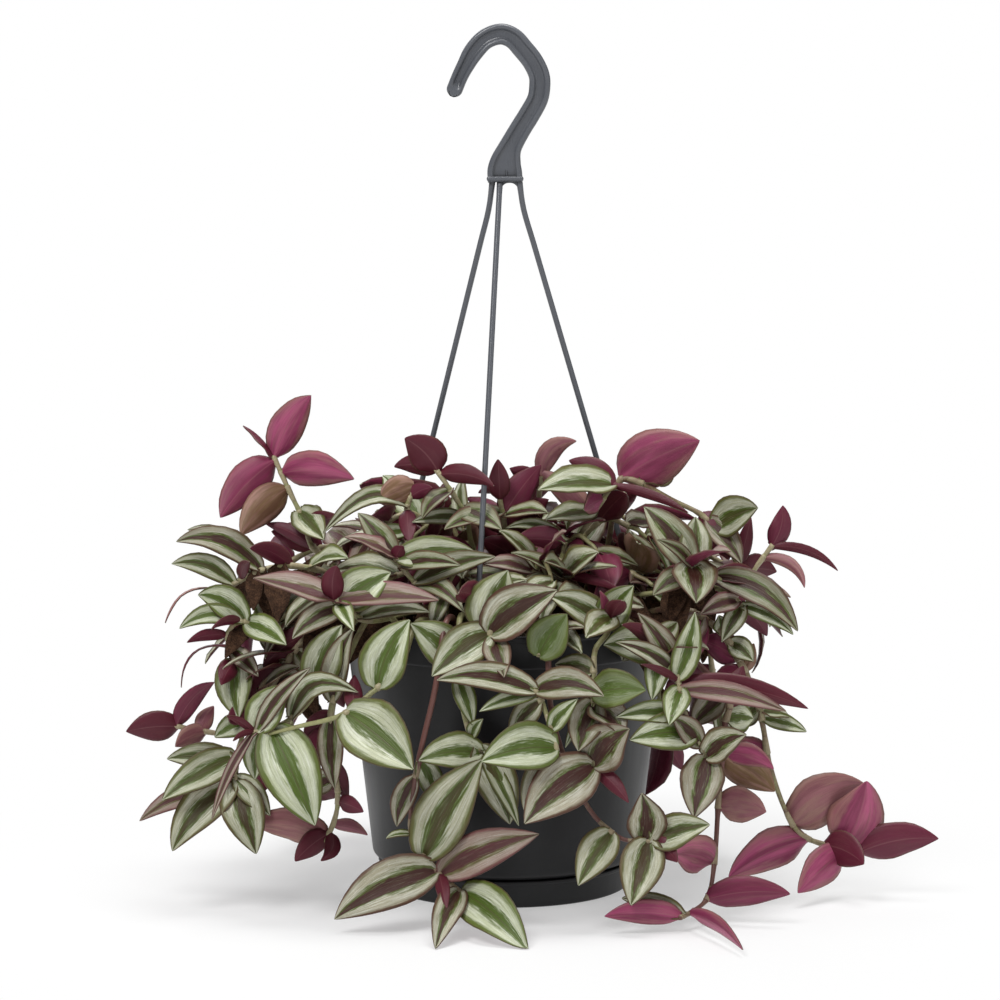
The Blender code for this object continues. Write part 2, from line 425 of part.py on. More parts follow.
def evaluated_mesh(source):
    """The object's mesh with its modifiers applied, in its own space."""
    bpy.context.view_layer.update()
    graph = bpy.context.evaluated_depsgraph_get()
    return bpy.data.meshes.new_from_object(source.evaluated_get(graph))


def applied(source, merge=0.00001):
    """A new mesh from a curve or a modified mesh, with its caps welded. The source object is removed."""
    mesh = evaluated_mesh(source)
    name = source.name
    bpy.data.objects.remove(source)
    mesh.name = name
    edit = bmesh.new()
    edit.from_mesh(mesh)
    bmesh.ops.remove_doubles(edit, verts=edit.verts, dist=merge)
    edit.to_mesh(mesh)
    edit.free()
    return mesh


def turned(name, profile, sides, finish, collection):
    """A closed solid of revolution. The profile runs from the axis, up the inside and down the outside."""
    mesh = bpy.data.meshes.new(name)
    edit = bmesh.new()
    points = [edit.verts.new((radius, 0, height)) for radius, height in profile]
    for first, second in zip(points, points[1:]):
        edit.edges.new((first, second))
    edit.to_mesh(mesh)
    edit.free()
    made = add_object(name, mesh, finish, collection)
    screw = made.modifiers.new("turn", "SCREW")
    screw.steps = screw.render_steps = sides
    screw.use_merge_vertices = True
    screw.merge_threshold = 0.00001
    screw.use_smooth_shade = True
    return made


def tube(name, points, radius, finish, collection, sides=6):
    """A round bar along the points, as a curve with filled caps."""
    curve = bpy.data.curves.new(name, "CURVE")
    curve.dimensions = "3D"
    curve.bevel_depth = radius
    curve.bevel_resolution = sides // 2 - 2
    curve.use_fill_caps = True
    spline = curve.splines.new("POLY")
    spline.points.add(len(points) - 1)
    for point, place in zip(spline.points, points):
        point.co = (*place, 1)
    return add_object(name, curve, finish, collection)


def boolean(target, tool, operation):
    cut = target.modifiers.new(operation.lower(), "BOOLEAN")
    cut.operation = operation
    cut.solver = "EXACT"
    cut.object = tool


def smooth_curve(points, steps):
    """Points on a Catmull-Rom curve through the given ones, with this many steps to each span."""
    points = [Vector(point) for point in points]
    ends = [2 * points[0] - points[1], *points, 2 * points[-1] - points[-2]]
    curve = []
    for before, start, end, after in zip(ends, ends[1:], ends[2:], ends[3:]):
        for step in range(steps):
            t = step / steps
            bend = 2 * before - 5 * start + 4 * end - after
            twist = 3 * start - before - 3 * end + after
            curve.append(0.5 * (2 * start + (end - before) * t + bend * t * t + twist * t ** 3))
    return [*curve, points[-1]]


# ---- pot, saucer and soil


def pot_radius(height):
    """Outer radius of the pot's tapered wall."""
    share = (height - POT_CORNER_Z) / (POT_HEIGHT - POT_CORNER_Z)
    return POT_CORNER_RADIUS + (POT_TOP_RADIUS - POT_CORNER_RADIUS) * share


def make_pot(collection):
    floor = SAUCER_FLOOR + GAP
    shoulder = SAUCER_HEIGHT + GAP
    corner = [(POT_CORNER_RADIUS - inwards, POT_CORNER_Z - down) for inwards, down in POT_CORNER_BEVELS]
    profile = [
        (0, floor + POT_WALL), (POT_FOOT_RADIUS - POT_WALL, floor + POT_WALL),
        (POT_FOOT_RADIUS - POT_WALL, shoulder + POT_WALL),
        (pot_radius(INNER_CORNER_Z) - POT_WALL, INNER_CORNER_Z),
        (pot_radius(RIM_BAND_Z) - POT_WALL, RIM_BAND_Z),
        (RIM_BAND_RADIUS - 1.5 * POT_WALL, POT_HEIGHT - RIM_EDGE),
        (RIM_BAND_RADIUS - POT_WALL, POT_HEIGHT), (RIM_BAND_RADIUS - RIM_EDGE, POT_HEIGHT),
        (RIM_BAND_RADIUS, POT_HEIGHT - RIM_EDGE), (RIM_BAND_RADIUS, RIM_BAND_Z + RIM_EDGE),
        (RIM_BAND_RADIUS - RIM_EDGE, RIM_BAND_Z), (pot_radius(RIM_BAND_Z), RIM_BAND_Z - RIM_EDGE),
        (POT_CORNER_RADIUS, POT_CORNER_Z), *corner,
        (POT_FOOT_RADIUS, shoulder), (POT_FOOT_RADIUS, floor), (0, floor),
    ]
    return turned("pot", profile, ROUND_SIDES, "pot_plastic", collection)


def make_saucer(collection):
    inner_rim = SAUCER_RIM_RADIUS - SAUCER_WALL
    profile = [
        (0, SAUCER_FLOOR), (SAUCER_FOOT_RADIUS - SAUCER_WALL, SAUCER_FLOOR), (inner_rim, SAUCER_HEIGHT),
        (SAUCER_RIM_RADIUS, SAUCER_HEIGHT), (SAUCER_FOOT_RADIUS, 0), (0, 0),
    ]
    return turned("saucer", profile, ROUND_SIDES, "pot_plastic", collection)


def make_soil(collection, planting_tools):
    """The soil fills the pot to a little below the rim, with a hole for each stem."""
    def wall(height):
        return pot_radius(height) - POT_WALL - SOIL_CLEARANCE

    edge = SOIL_TOP_Z - SOIL_SHOULDER
    floor = SAUCER_FLOOR + GAP + POT_WALL + SOIL_CLEARANCE
    foot = POT_FOOT_RADIUS - POT_WALL - SOIL_CLEARANCE
    ledge = SAUCER_HEIGHT + GAP + POT_WALL + 2 * SOIL_CLEARANCE
    corner = INNER_CORNER_Z + 1.5 * SOIL_CLEARANCE
    profile = [
        (0, SOIL_TOP_Z + SOIL_DOME), (0.5 * wall(edge), SOIL_TOP_Z + 0.75 * SOIL_DOME),
        (0.95 * wall(edge), SOIL_TOP_Z), (wall(edge), edge), (wall(corner), corner), (foot, ledge),
        (foot, floor), (0, floor),
    ]
    soil = turned("potting_soil", profile, SOIL_SIDES, "soil", collection)
    boolean(soil, planting_tools, "DIFFERENCE")
    soil.modifiers["difference"].use_self = True
    return soil


# ---- hanger

# The hook's middle line from its tip to its foot: (x, z, width) in millimetres.
HOOK_SPINE = (
    (-26.0, 410.5, 8.2), (-23.4, 416.8, 8.3), (-20.4, 422.6, 8.9), (-16.4, 429.4, 10.2), (-10.6, 435.6, 10.4),
    (-3.0, 438.3, 10.7), (3.5, 436.2, 10.7), (8.6, 430.8, 10.7), (13.6, 424.5, 10.7), (16.8, 417.7, 10.7),
    (17.2, 411.5, 10.8), (16.0, 405.1, 10.7), (11.9, 397.6, 10.9), (7.0, 389.7, 11.0), (2.4, 381.4, 11.8),
    (0.2, 374.9, 15.2), (-0.6, 369.4, 17.6), (-0.3, 363.6, 17.8),
)


def hook_outline(inset, stations_left_off=0):
    """The hook's closed outline in the XZ plane, this far inside its edge, from the foot up and back."""
    mm = 0.001
    spine = smooth_curve([(x * mm, z * mm, width * mm) for x, z, width in HOOK_SPINE], 2)
    spine = spine[:len(spine) - stations_left_off]
    left = []
    right = []
    for index, place in enumerate(spine):
        ahead = spine[min(index + 1, len(spine) - 1)] - spine[max(index - 1, 0)]
        across = Vector((-ahead.y, ahead.x)).normalized() * (place.z / 2 - inset)
        left.append(place.to_2d() + across)
        right.append(place.to_2d() - across)
    tip = spine[0].to_2d()
    reach = left[0] - tip
    away = Vector((-reach.y, reach.x))
    cap = [tip + reach * math.cos(angle) + away * math.sin(angle)
           for angle in (math.pi * part / 6 for part in range(1, 6))]
    return [*left[::-1], *cap, *right]


def flat_piece(name, outline, thickness, finish, collection):
    """A flat outline in the XZ plane, extruded evenly to both sides of it."""
    curve = bpy.data.curves.new(name, "CURVE")
    curve.dimensions = "2D"
    curve.fill_mode = "BOTH"
    curve.extrude = thickness / 2
    spline = curve.splines.new("POLY")
    spline.points.add(len(outline) - 1)
    for point, place in zip(spline.points, outline):
        point.co = (place.x, place.y, 0, 1)
    spline.use_cyclic_u = True
    made = add_object(name, curve, finish, collection)
    made.rotation_euler.x = math.pi / 2
    return made


def make_hook(collection, tools):
    hook = flat_piece("hanger_hook", hook_outline(0), HOOK_THICKNESS, "hanger_plastic", collection)
    recess_depth = (HOOK_THICKNESS - HOOK_WEB) / 2
    for side in (-1, 1):
        recess = flat_piece(f"hook_recess_{side}", hook_outline(HOOK_FLANGE, 2), 2 * recess_depth,
                            "hanger_plastic", tools)
        recess.location.y = side * HOOK_THICKNESS / 2
        as_tool(recess)
    solid = as_mesh_object(hook)
    for side in (-1, 1):
        boolean(solid, bpy.data.objects[f"hook_recess_{side}"], "DIFFERENCE")
    return solid


def as_mesh_object(source):
    """Replaces a curve object by a welded mesh object of its name and place, with its flat faces whole."""
    bpy.context.view_layer.update()
    name, matrix, collections = source.name, source.matrix_world.copy(), source.users_collection
    mesh = applied(source)
    edit = bmesh.new()
    edit.from_mesh(mesh)
    bmesh.ops.dissolve_limit(edit, angle_limit=math.radians(0.5), verts=edit.verts, edges=edit.edges)
    edit.to_mesh(mesh)
    edit.free()
    made = bpy.data.objects.new(name, mesh)
    made.matrix_world = matrix
    collections[0].objects.link(made)
    return made


def as_tool(source):
    made = as_mesh_object(source) if source.type == "CURVE" else source
    made.hide_render = True
    made.display_type = "WIRE"
    return made


def round_pot(azimuth, radius, height):
    """The point at this azimuth from the front, in degrees, radius from the pot's axis and height."""
    angle = math.radians(azimuth)
    return Vector((radius * math.sin(angle), -radius * math.cos(angle), height))


def make_leg(name, collection, tools):
    azimuth, start_x = LEGS[name]
    top = Vector((start_x, 0, HOOK_BASE_Z - GAP - 0.45 * LEG_RADIUS))  # its end is square to its slope
    knee = round_pot(azimuth, LEG_FOOT_RADIUS, LEG_FOOT_Z + CLIP_HEIGHT + LEG_BEND)
    foot = round_pot(azimuth, LEG_FOOT_RADIUS + LEG_BEND, LEG_FOOT_Z + LEG_BEND)
    bar = tube(f"hanger_leg_{name}", [top, knee, foot], LEG_RADIUS, "hanger_plastic", collection)
    leg = as_mesh_object(bar)
    reach = pot_radius(LEG_FOOT_Z) - POT_WALL - GAP - LEG_FOOT_RADIUS
    mesh = bpy.data.meshes.new(f"clip_{name}")
    edit = bmesh.new()
    bmesh.ops.create_cube(edit, size=1)
    bmesh.ops.scale(edit, verts=edit.verts, vec=(CLIP_WIDTH, reach, CLIP_HEIGHT))
    edit.to_mesh(mesh)
    edit.free()
    clip = add_object(f"clip_{name}", mesh, "hanger_plastic", tools)
    clip.rotation_euler.z = math.radians(azimuth)
    clip.location = round_pot(azimuth, LEG_FOOT_RADIUS + reach / 2 - GAP, LEG_FOOT_Z + CLIP_HEIGHT / 2)
    as_tool(clip)
    boolean(leg, clip, "UNION")
    return leg


# ---- cuttings


class Leaf:
    """A leaf's frame: where it starts, its length and direction, and which way its upper face looks."""

    def __init__(self, base, tip, width, facing):
        chord = tip - base
        self.base = base
        self.length = chord.length
        self.width = width
        self.axis = chord.normalized()
        middle = base + 0.5 * chord
        outward = Vector((middle.x, middle.y, 0)).normalized()
        looks = {
            "up": Vector((0, 0, 0.8)) + 0.6 * outward,
            "front": Vector((0, -1, 0.4)),
            "under": Vector((0, 1, 0.1)),
            "down": Vector((0, 0.3, -1)),
            "edge": self.axis.cross(Vector((0, 1, 0))) + Vector((0, 0, 0.1)),
        }
        self.normal = self.square_to_length(looks[facing], outward)
        self.bow = self.square_to_length(Vector((0, 0, 0.9)) + 0.4 * outward, outward)
        self.side = self.normal.cross(self.axis)

    def square_to_length(self, wanted, outward):
        """The direction at right angles to the leaf's length that is nearest to the wanted one."""
        found = wanted - self.axis * wanted.dot(self.axis)
        if found.length < 0.2:
            found = outward - self.axis * outward.dot(self.axis)
        return found.normalized()

    def point(self, along, across, lift=0.0, grow=0.0):
        """A point of the leaf: along from 0 at the base to 1 at the tip, across from -1 to 1."""
        base_power, tip_power, greatest = LEAF_OUTLINE
        shape = along ** base_power * (1 - along) ** tip_power / greatest
        half = (0.5 * self.width + grow) * shape
        spine = self.base + self.axis * (self.length * along) + self.bow * (
            LEAF_ARCH * self.length * 4 * along * (1 - along))
        return spine + self.side * (half * across) + self.normal * (LEAF_FOLD * half * abs(across) + lift)


def leaf_mesh(leaf, thickness, grow=0.0):
    """A closed, keeled leaf that is thickest along its midrib and sharp at its edges."""
    edit = bmesh.new()
    bmesh.ops.create_grid(edit, x_segments=3, y_segments=2, size=1)
    lower = bmesh.ops.duplicate(edit, geom=edit.verts[:] + edit.edges[:] + edit.faces[:])["geom"]
    lower_verts = {element for element in lower if isinstance(element, bmesh.types.BMVert)}
    lower_faces = [element for element in lower if isinstance(element, bmesh.types.BMFace)]
    bmesh.ops.reverse_faces(edit, faces=lower_faces)
    for vert in edit.verts:
        along, across = 0.5 * (vert.co.x + 1), vert.co.y
        middle = abs(across) < 0.5 and 0 < along < 1
        lift = (-0.5 if vert in lower_verts else 0.5) * thickness if middle else 0
        vert.co = leaf.point(along, across, lift, grow)
    bmesh.ops.remove_doubles(edit, verts=edit.verts, dist=0.00002)
    return edit


def tree_of(edit):
    tree = BVHTree.FromBMesh(edit)
    edit.free()
    return tree


def clear_of(edit, trees):
    """Whether this test shape crosses none of the trees. It frees the shape."""
    tree = tree_of(edit)
    return not any(tree.overlap(other) for other in trees)


def arch_route(azimuth, root_radius, peak, reach, end):
    """A stem that rises from the soil and arches outwards, as points in centimetres."""
    planted = (SOIL_TOP_Z - PLANTING_DEPTH) / CM
    span = reach - root_radius
    outwards, drop = ARCH_SHOULDER
    profile = [(root_radius, planted)]
    profile += [(root_radius + out * span, planted + rise * (peak - planted)) for out, rise in ARCH_SHAPE]
    profile += [(root_radius + outwards * span, peak - drop * (peak - end)), (reach, end)]
    return [round_pot(azimuth, radius, height) for radius, height in profile]


def stem_path(route, turn=0.0):
    """The stem's middle line in metres, turned about the pot's axis by some degrees."""
    turning = Matrix.Rotation(math.radians(turn), 3, "Z")
    return [turning @ Vector(point) * CM for point in route]


def point_on(path, place):
    """The point of the path nearest to the place, a little before the path's end, and its direction there."""
    best = None
    for start, end in zip(path, path[1:]):
        along = end - start
        last = 1 if end is not path[-1] else 1 - 1.5 * STEM_RADIUS / along.length
        share = min(max((place - start).dot(along) / along.length_squared, 0), last)
        spot = start + share * along
        if best is None or (spot - place).length < (best[0] - place).length:
            best = spot, along.normalized()
    return best


def arch_leaves(path):
    """Leaves in two rows along an arching stem, with one at its end: (point, tip, width, facing)."""
    lengths = [0.0]
    for start, end in zip(path, path[1:]):
        lengths.append(lengths[-1] + (end - start).length)
    leaves = []
    side = 1
    forwards, sideways, upwards = ARCH_LEAF_DIRECTION
    at = ARCH_FIRST_LEAF * lengths[-1]
    while at < lengths[-1] - ARCH_BARE_END:
        index = next(i for i, length in enumerate(lengths) if length > at) - 1
        start, end = path[index], path[index + 1]
        tangent = (end - start).normalized()
        place = start + tangent * (at - lengths[index])
        across = tangent.cross(Vector((0, 0, 1))).normalized() * side
        direction = (forwards * tangent + sideways * across + Vector((0, 0, upwards))).normalized()
        leaves.append((place, place + direction * ARCH_LEAF_LENGTH, ARCH_LEAF_WIDTH, "up"))
        side = -side
        at += ARCH_LEAF_SPACING
    tangent = (path[-1] - path[-2]).normalized()
    leaves.append((path[-1], path[-1] + tangent * ARCH_LEAF_LENGTH * 0.9, ARCH_LEAF_WIDTH, "up"))
    return leaves


def stem_mesh(path, radius):
    tools = bpy.context.scene.collection
    edit = bmesh.new()
    mesh = applied(tube("stem_test", path, radius, "foliage", tools))
    edit.from_mesh(mesh)
    bpy.data.meshes.remove(mesh)
    return edit


def plan_stems(guards):
    """Each cutting's path, turned a little about the pot where it would meet another."""
    paths = {}
    trees = {}
    routes = {name: stem for name, (stem, leaves) in CUTTINGS.items()}
    routes.update({name: arch_route(*numbers) for name, numbers in ARCHES.items()})
    for name, route in routes.items():
        for turn in STEM_TURNS:
            path = stem_path(route, turn)
            tree = tree_of(stem_mesh(path, STEM_RADIUS + 2 * GAP))
            if not any(tree.overlap(other) for other in [*guards, *trees.values()]):
                break
        else:
            print(f"{name}: its stem meets another piece")
        paths[name] = path
        trees[name] = tree
    return paths, trees


def plan_leaves(paths, stem_trees, guards):
    """The leaves of each cutting that clear the other cuttings, each swung or lifted where it has to be."""
    leaf_trees = {name: [] for name in paths}
    plans = {}
    for name, path in paths.items():
        if name in CUTTINGS:
            wanted = [(Vector(base) * CM, Vector(tip) * CM, width * CM, facing)
                      for base, tip, width, facing in CUTTINGS[name][1]]
        else:
            wanted = arch_leaves(path)
        others = [*guards, *(tree for other, tree in stem_trees.items() if other != name)]
        plans[name] = []
        for near, tip, width, facing in wanted:
            base = point_on(path, near)[0]
            neighbours = others + [tree for other in paths if other != name for tree in leaf_trees[other]]
            leaf = first_clear_leaf(base, tip, width, facing, neighbours)
            if leaf is None:
                print(f"{name}: no room for the leaf at {tuple(round(value / CM, 1) for value in tip)}")
                continue
            plans[name].append(leaf)
            leaf_trees[name].append(tree_of(leaf_mesh(leaf, LEAF_THICKNESS)))
    return plans


def first_clear_leaf(base, tip, width, facing, neighbours):
    plain = Leaf(base, tip, width, facing)
    for swing, lift in LEAF_MOVES:
        turning = (Matrix.Rotation(math.radians(swing), 3, plain.normal)
                   @ Matrix.Rotation(math.radians(-lift), 3, plain.side))
        leaf = Leaf(base, base + turning @ (tip - base), width, facing)
        test = leaf_mesh(leaf, LEAF_THICKNESS + 2 * LEAF_CLEARANCE, LEAF_CLEARANCE)
        low = min(vert.co.z for vert in test.verts)
        if low < LEAF_CLEARANCE:
            test.free()
        elif clear_of(test, neighbours):
            return leaf
    return None


def make_cutting(name, path, leaves, collection, tools):
    stem = as_mesh_object(tube(f"cutting_{name}", path, STEM_RADIUS, "foliage", collection))
    for leaf in leaves:
        edit = leaf_mesh(leaf, LEAF_THICKNESS)
        mesh = bpy.data.meshes.new("leaf")
        edit.to_mesh(mesh)
        edit.free()
        blade = bpy.data.objects.new("leaf", mesh)
        tools.objects.link(blade)
        boolean(stem, blade, "UNION")
        joined = evaluated_mesh(stem)
        old = stem.data
        stem.modifiers.clear()
        stem.data = joined
        joined.name = old.name
        bpy.data.meshes.remove(old)
        bpy.data.objects.remove(blade)
    return stem


def planting_holes(paths, tools):
    """One mesh of the holes that the stems stand in, to cut from the soil."""
    mesh = bpy.data.meshes.new("planting_holes")
    edit = bmesh.new()
    depth = 2 * PLANTING_DEPTH
    for path in paths.values():
        made = bmesh.ops.create_cone(edit, cap_ends=True, segments=8, radius1=HOLE_RADII[0],
                                     radius2=HOLE_RADII[1], depth=depth)
        lean = (path[1] - path[0]).normalized()
        place = path[0] + lean * (0.5 * depth - 2 * GAP)
        turning = Vector((0, 0, 1)).rotation_difference(lean).to_matrix().to_4x4()
        bmesh.ops.transform(edit, verts=made["verts"], matrix=Matrix.Translation(place) @ turning)
    edit.to_mesh(mesh)
    edit.free()
    holes = bpy.data.objects.new("planting_holes", mesh)
    tools.objects.link(holes)
    return as_tool(holes)


def main():
    for old in list(bpy.data.objects):
        bpy.data.objects.remove(old)
    plant = bpy.data.collections.new("potted_tradescantia")
    tools = bpy.data.collections.new("tools")
    for collection in (plant, tools):
        bpy.context.scene.collection.children.link(collection)

    hard = [make_pot(plant), make_saucer(plant), make_hook(plant, tools)]
    hard += [make_leg(name, plant, tools) for name in LEGS]
    guards = []
    for piece in hard:
        edit = bmesh.new()
        mesh = evaluated_mesh(piece)
        edit.from_mesh(mesh)
        edit.transform(piece.matrix_world)
        guards.append(tree_of(edit))
        bpy.data.meshes.remove(mesh)
    paths, stem_trees = plan_stems(guards)
    for name, leaves in plan_leaves(paths, stem_trees, guards).items():
        make_cutting(name, paths[name], leaves, plant, tools)
    make_soil(plant, planting_holes(paths, tools))


main()
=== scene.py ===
import math
import random

import bmesh
import bpy
from mathutils import Matrix, Vector, noise
from mathutils.bvhtree import BVHTree


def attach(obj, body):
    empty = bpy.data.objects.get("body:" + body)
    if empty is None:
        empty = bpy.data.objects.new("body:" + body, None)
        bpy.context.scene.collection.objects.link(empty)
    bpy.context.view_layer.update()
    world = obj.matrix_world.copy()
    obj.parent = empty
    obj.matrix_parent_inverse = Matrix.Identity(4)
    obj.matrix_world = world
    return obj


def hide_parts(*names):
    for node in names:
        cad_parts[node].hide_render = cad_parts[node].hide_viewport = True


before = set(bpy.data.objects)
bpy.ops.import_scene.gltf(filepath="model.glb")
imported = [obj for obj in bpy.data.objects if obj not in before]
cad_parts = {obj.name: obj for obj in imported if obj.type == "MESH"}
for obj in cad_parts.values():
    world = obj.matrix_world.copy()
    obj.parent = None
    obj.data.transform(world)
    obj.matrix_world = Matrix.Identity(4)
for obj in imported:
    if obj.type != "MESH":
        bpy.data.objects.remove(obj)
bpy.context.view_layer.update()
cm = 0.01
up = Vector((0, 0, 1))
seeds = {  # the pieces of a table count up from its number
    "soil": 11,
    "cuttings": 100,
    "sprays": 200,
    "arches": 300,
    "crown": 7,
    "litter": 11,
    "backArches": 400,
}


# small helpers


def newNode(tree, kind, inputs=None, **settings):
    made = tree.nodes.new(kind)
    for name, value in settings.items():
        setattr(made, name, value)
    for name, value in (inputs or {}).items():
        if isinstance(value, bpy.types.NodeSocket):
            tree.links.new(value, made.inputs[name])
        else:
            made.inputs[name].default_value = value
    return made


def maths(tree, operation, first, second=0.0, clamp=False):
    made = newNode(tree, "ShaderNodeMath", {0: first, 1: second}, operation=operation, use_clamp=clamp)
    return made.outputs[0]


def times(tree, first, second, clamp=False):
    return maths(tree, "MULTIPLY", first, second, clamp)


def plus(tree, first, second, clamp=False):
    return maths(tree, "ADD", first, second, clamp)


def minus(tree, first, second):
    return maths(tree, "SUBTRACT", first, second)


def easeStep(tree, value, start, end):
    # rises smoothly from 0 at start to 1 at end
    return newNode(tree, "ShaderNodeMapRange", {"Value": value, "From Min": start, "From Max": end},
                   interpolation_type="SMOOTHSTEP").outputs["Result"]


def easeTo(tree, value, start, end, most):
    # rises smoothly from 0 at start to most at end
    return times(tree, easeStep(tree, value, start, end), most)


def blendNumber(tree, share, first, second):
    return newNode(tree, "ShaderNodeMix", {0: share, 2: first, 3: second}).outputs[0]


def blendColour(tree, share, first, second):
    # each colour is a socket or three numbers
    first, second = ((*each, 1) if isinstance(each, tuple) else each for each in (first, second))
    return newNode(tree, "ShaderNodeMix", {0: share, 6: first, 7: second}, data_type="RGBA").outputs[2]


def noiseOf(tree, vector, scale, detail=3.0, roughness=0.6):
    return newNode(tree, "ShaderNodeTexNoise", {"Vector": vector, "Scale": scale, "Detail": detail,
                                               "Roughness": roughness}).outputs["Fac"]


def objectPlace(tree):
    return newNode(tree, "ShaderNodeTexCoord").outputs["Object"]


def attributeParts(tree, name):
    read = newNode(tree, "ShaderNodeAttribute", attribute_name=name)
    parts = newNode(tree, "ShaderNodeSeparateXYZ", {"Vector": read.outputs["Vector"]})
    return parts.outputs["X"], parts.outputs["Y"], parts.outputs["Z"]


def newMaterial(name):
    material = bpy.data.materials.new(name)
    material.use_nodes = True
    tree = material.node_tree
    return material, tree, tree.nodes["Principled BSDF"]


def setBump(tree, shader, height, strength, distance):
    bump = newNode(tree, "ShaderNodeBump", {"Height": height, "Strength": strength, "Distance": distance})
    tree.links.new(bump.outputs["Normal"], shader.inputs["Normal"])


fixedTrees = []  # name and tree of the pieces that leaves are kept clear of


def newPiece(name, edit, materials, nodes=(), smooth=True, guard=False):
    mesh = bpy.data.meshes.new(name)
    if guard:
        fixedTrees.append((name, BVHTree.FromBMesh(edit)))
    edit.to_mesh(mesh)
    edit.free()
    for material in materials:
        mesh.materials.append(material)
    if smooth:
        mesh.shade_smooth()
    piece = bpy.data.objects.new(name, mesh)
    bpy.context.scene.collection.objects.link(piece)
    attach(piece, "root")
    if nodes:
        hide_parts(*nodes)
    return piece


def aroundPot(azimuth, radius, height):
    # azimuth in degrees from the front, positive towards +X
    angle = math.radians(azimuth)
    return Vector((radius * math.sin(angle), -radius * math.cos(angle), height))


def smoothCurve(points, steps):
    # Catmull-Rom through the points
    points = [Vector(point) for point in points]
    ends = [2 * points[0] - points[1], *points, 2 * points[-1] - points[-2]]
    curve = []
    for before, start, end, after in zip(ends, ends[1:], ends[2:], ends[3:]):
        bend = 2 * before - 5 * start + 4 * end - after
        twist = 3 * start - before - 3 * end + after
        for step in range(steps):
            t = step / steps
            curve.append(start + 0.5 * ((end - before) * t + bend * t * t + twist * t ** 3))
    return [*curve, points[-1]]


# camera, floor and light

stand = {
    "cameraPlace": (-0.003, -2.0, 0.44),
    "cameraAim": (-0.003, 0.0, 0.200),
    "lens": 140.8,
    "sensor": 36.0,
    "clipping": (0.05, 60.0),
    "floorSize": 24.0,
    "floorColour": (0.90, 0.90, 0.90, 1.0),
    "floorRoughness": 0.75,
    "floorGloss": 0.2,
    "floorGlow": (0.38, 1.0),  # how much the floor lights itself, near the pot and far from it
    "floorFade": (0.09, 0.33),  # how far from the pot the one turns into the other
    "skyLight": 0.215,
    "white": (1, 1, 1, 1),
    "lampAim": (0, 0, 0.15),
    "lamps": {  # place, power and size
        "keyLight": ((-0.75, -1.25, 1.75), 26.5, 0.85),
        "topLight": ((0.25, 0.0, 1.9), 18.0, 0.9),
        "fillLight": ((1.7, -1.2, 0.9), 5.0, 1.2),
        "backLight": ((-0.5, 1.6, 1.3), 8.0, 1.2),
    },
}


def makeCamera():
    lens = bpy.data.cameras.new("camera")
    lens.lens = stand["lens"]
    lens.sensor_width = stand["sensor"]
    lens.clip_start, lens.clip_end = stand["clipping"]
    camera = bpy.data.objects.new("camera", lens)
    bpy.context.scene.collection.objects.link(camera)
    camera.location = stand["cameraPlace"]
    towards = Vector(stand["cameraAim"]) - camera.location
    camera.rotation_euler = towards.to_track_quat("-Z", "Y").to_euler()
    bpy.context.scene.camera = camera


def makeAreaLight(name, place, power, size):
    light = bpy.data.lights.new(name, "AREA")
    light.energy = power
    light.shape = "DISK"
    light.size = size
    lamp = bpy.data.objects.new(name, light)
    bpy.context.scene.collection.objects.link(lamp)
    lamp.location = place
    lamp.rotation_euler = (Vector(stand["lampAim"]) - lamp.location).to_track_quat("-Z", "Y").to_euler()


def makeStage():
    scene = bpy.context.scene
    scene.view_settings.view_transform = "Standard"
    world = bpy.data.worlds.new("studio")
    scene.world = world
    world.use_nodes = True
    tree = world.node_tree
    tree.nodes.clear()
    # the lamps' white room is dimmer as light than it looks, so that the backdrop stays white
    soft = newNode(tree, "ShaderNodeBackground", {"Color": stand["white"], "Strength": stand["skyLight"]})
    seen = newNode(tree, "ShaderNodeBackground", {"Color": stand["white"], "Strength": 1.0})
    ray = newNode(tree, "ShaderNodeLightPath")
    mixed = newNode(tree, "ShaderNodeMixShader", {0: ray.outputs["Is Camera Ray"], 1: soft.outputs[0],
                                                 2: seen.outputs[0]})
    newNode(tree, "ShaderNodeOutputWorld", {"Surface": mixed.outputs[0]})

    edit = bmesh.new()
    bmesh.ops.create_circle(edit, cap_ends=True, segments=96, radius=stand["floorSize"] / 2)
    mesh = bpy.data.meshes.new("floor")
    edit.to_mesh(mesh)
    edit.free()
    floor = bpy.data.objects.new("floor", mesh)
    scene.collection.objects.link(floor)
    material, tree, shader = newMaterial("studioFloor")
    shader.inputs["Base Color"].default_value = stand["floorColour"]
    shader.inputs["Roughness"].default_value = stand["floorRoughness"]
    shader.inputs["Specular IOR Level"].default_value = stand["floorGloss"]
    # the floor runs out into the white backdrop with no line between them
    measure = newNode(tree, "ShaderNodeVectorMath", {0: objectPlace(tree)}, operation="LENGTH")
    distance = measure.outputs["Value"]
    glow = blendNumber(tree, easeStep(tree, distance, *stand["floorFade"]), *stand["floorGlow"])
    light = newNode(tree, "ShaderNodeEmission", {"Color": stand["white"], "Strength": 1.0})
    mixed = newNode(tree, "ShaderNodeMixShader", {0: glow, 1: shader.outputs[0], 2: light.outputs[0]})
    tree.links.new(mixed.outputs[0], tree.nodes["Material Output"].inputs["Surface"])
    mesh.materials.append(material)
    for name, (place, power, size) in stand["lamps"].items():
        makeAreaLight(name, place, power, size)


makeCamera()
makeStage()
print("camera, floor and lights are in place")


# plastics, soil and dry bits

plastics = {
    # cornerShade is how strong the painted shade in the corners is
    "potPlastic": {"colour": (0.0125, 0.0132, 0.0142), "dust": (0.036, 0.037, 0.039), "roughness": 0.40,
                   "cornerShade": 0.5, "gloss": 0.32},
    "hangerPlastic": {"colour": (0.092, 0.098, 0.112), "dust": (0.142, 0.148, 0.162), "roughness": 0.28,
                      "cornerShade": 0.95, "gloss": 0.5},
}


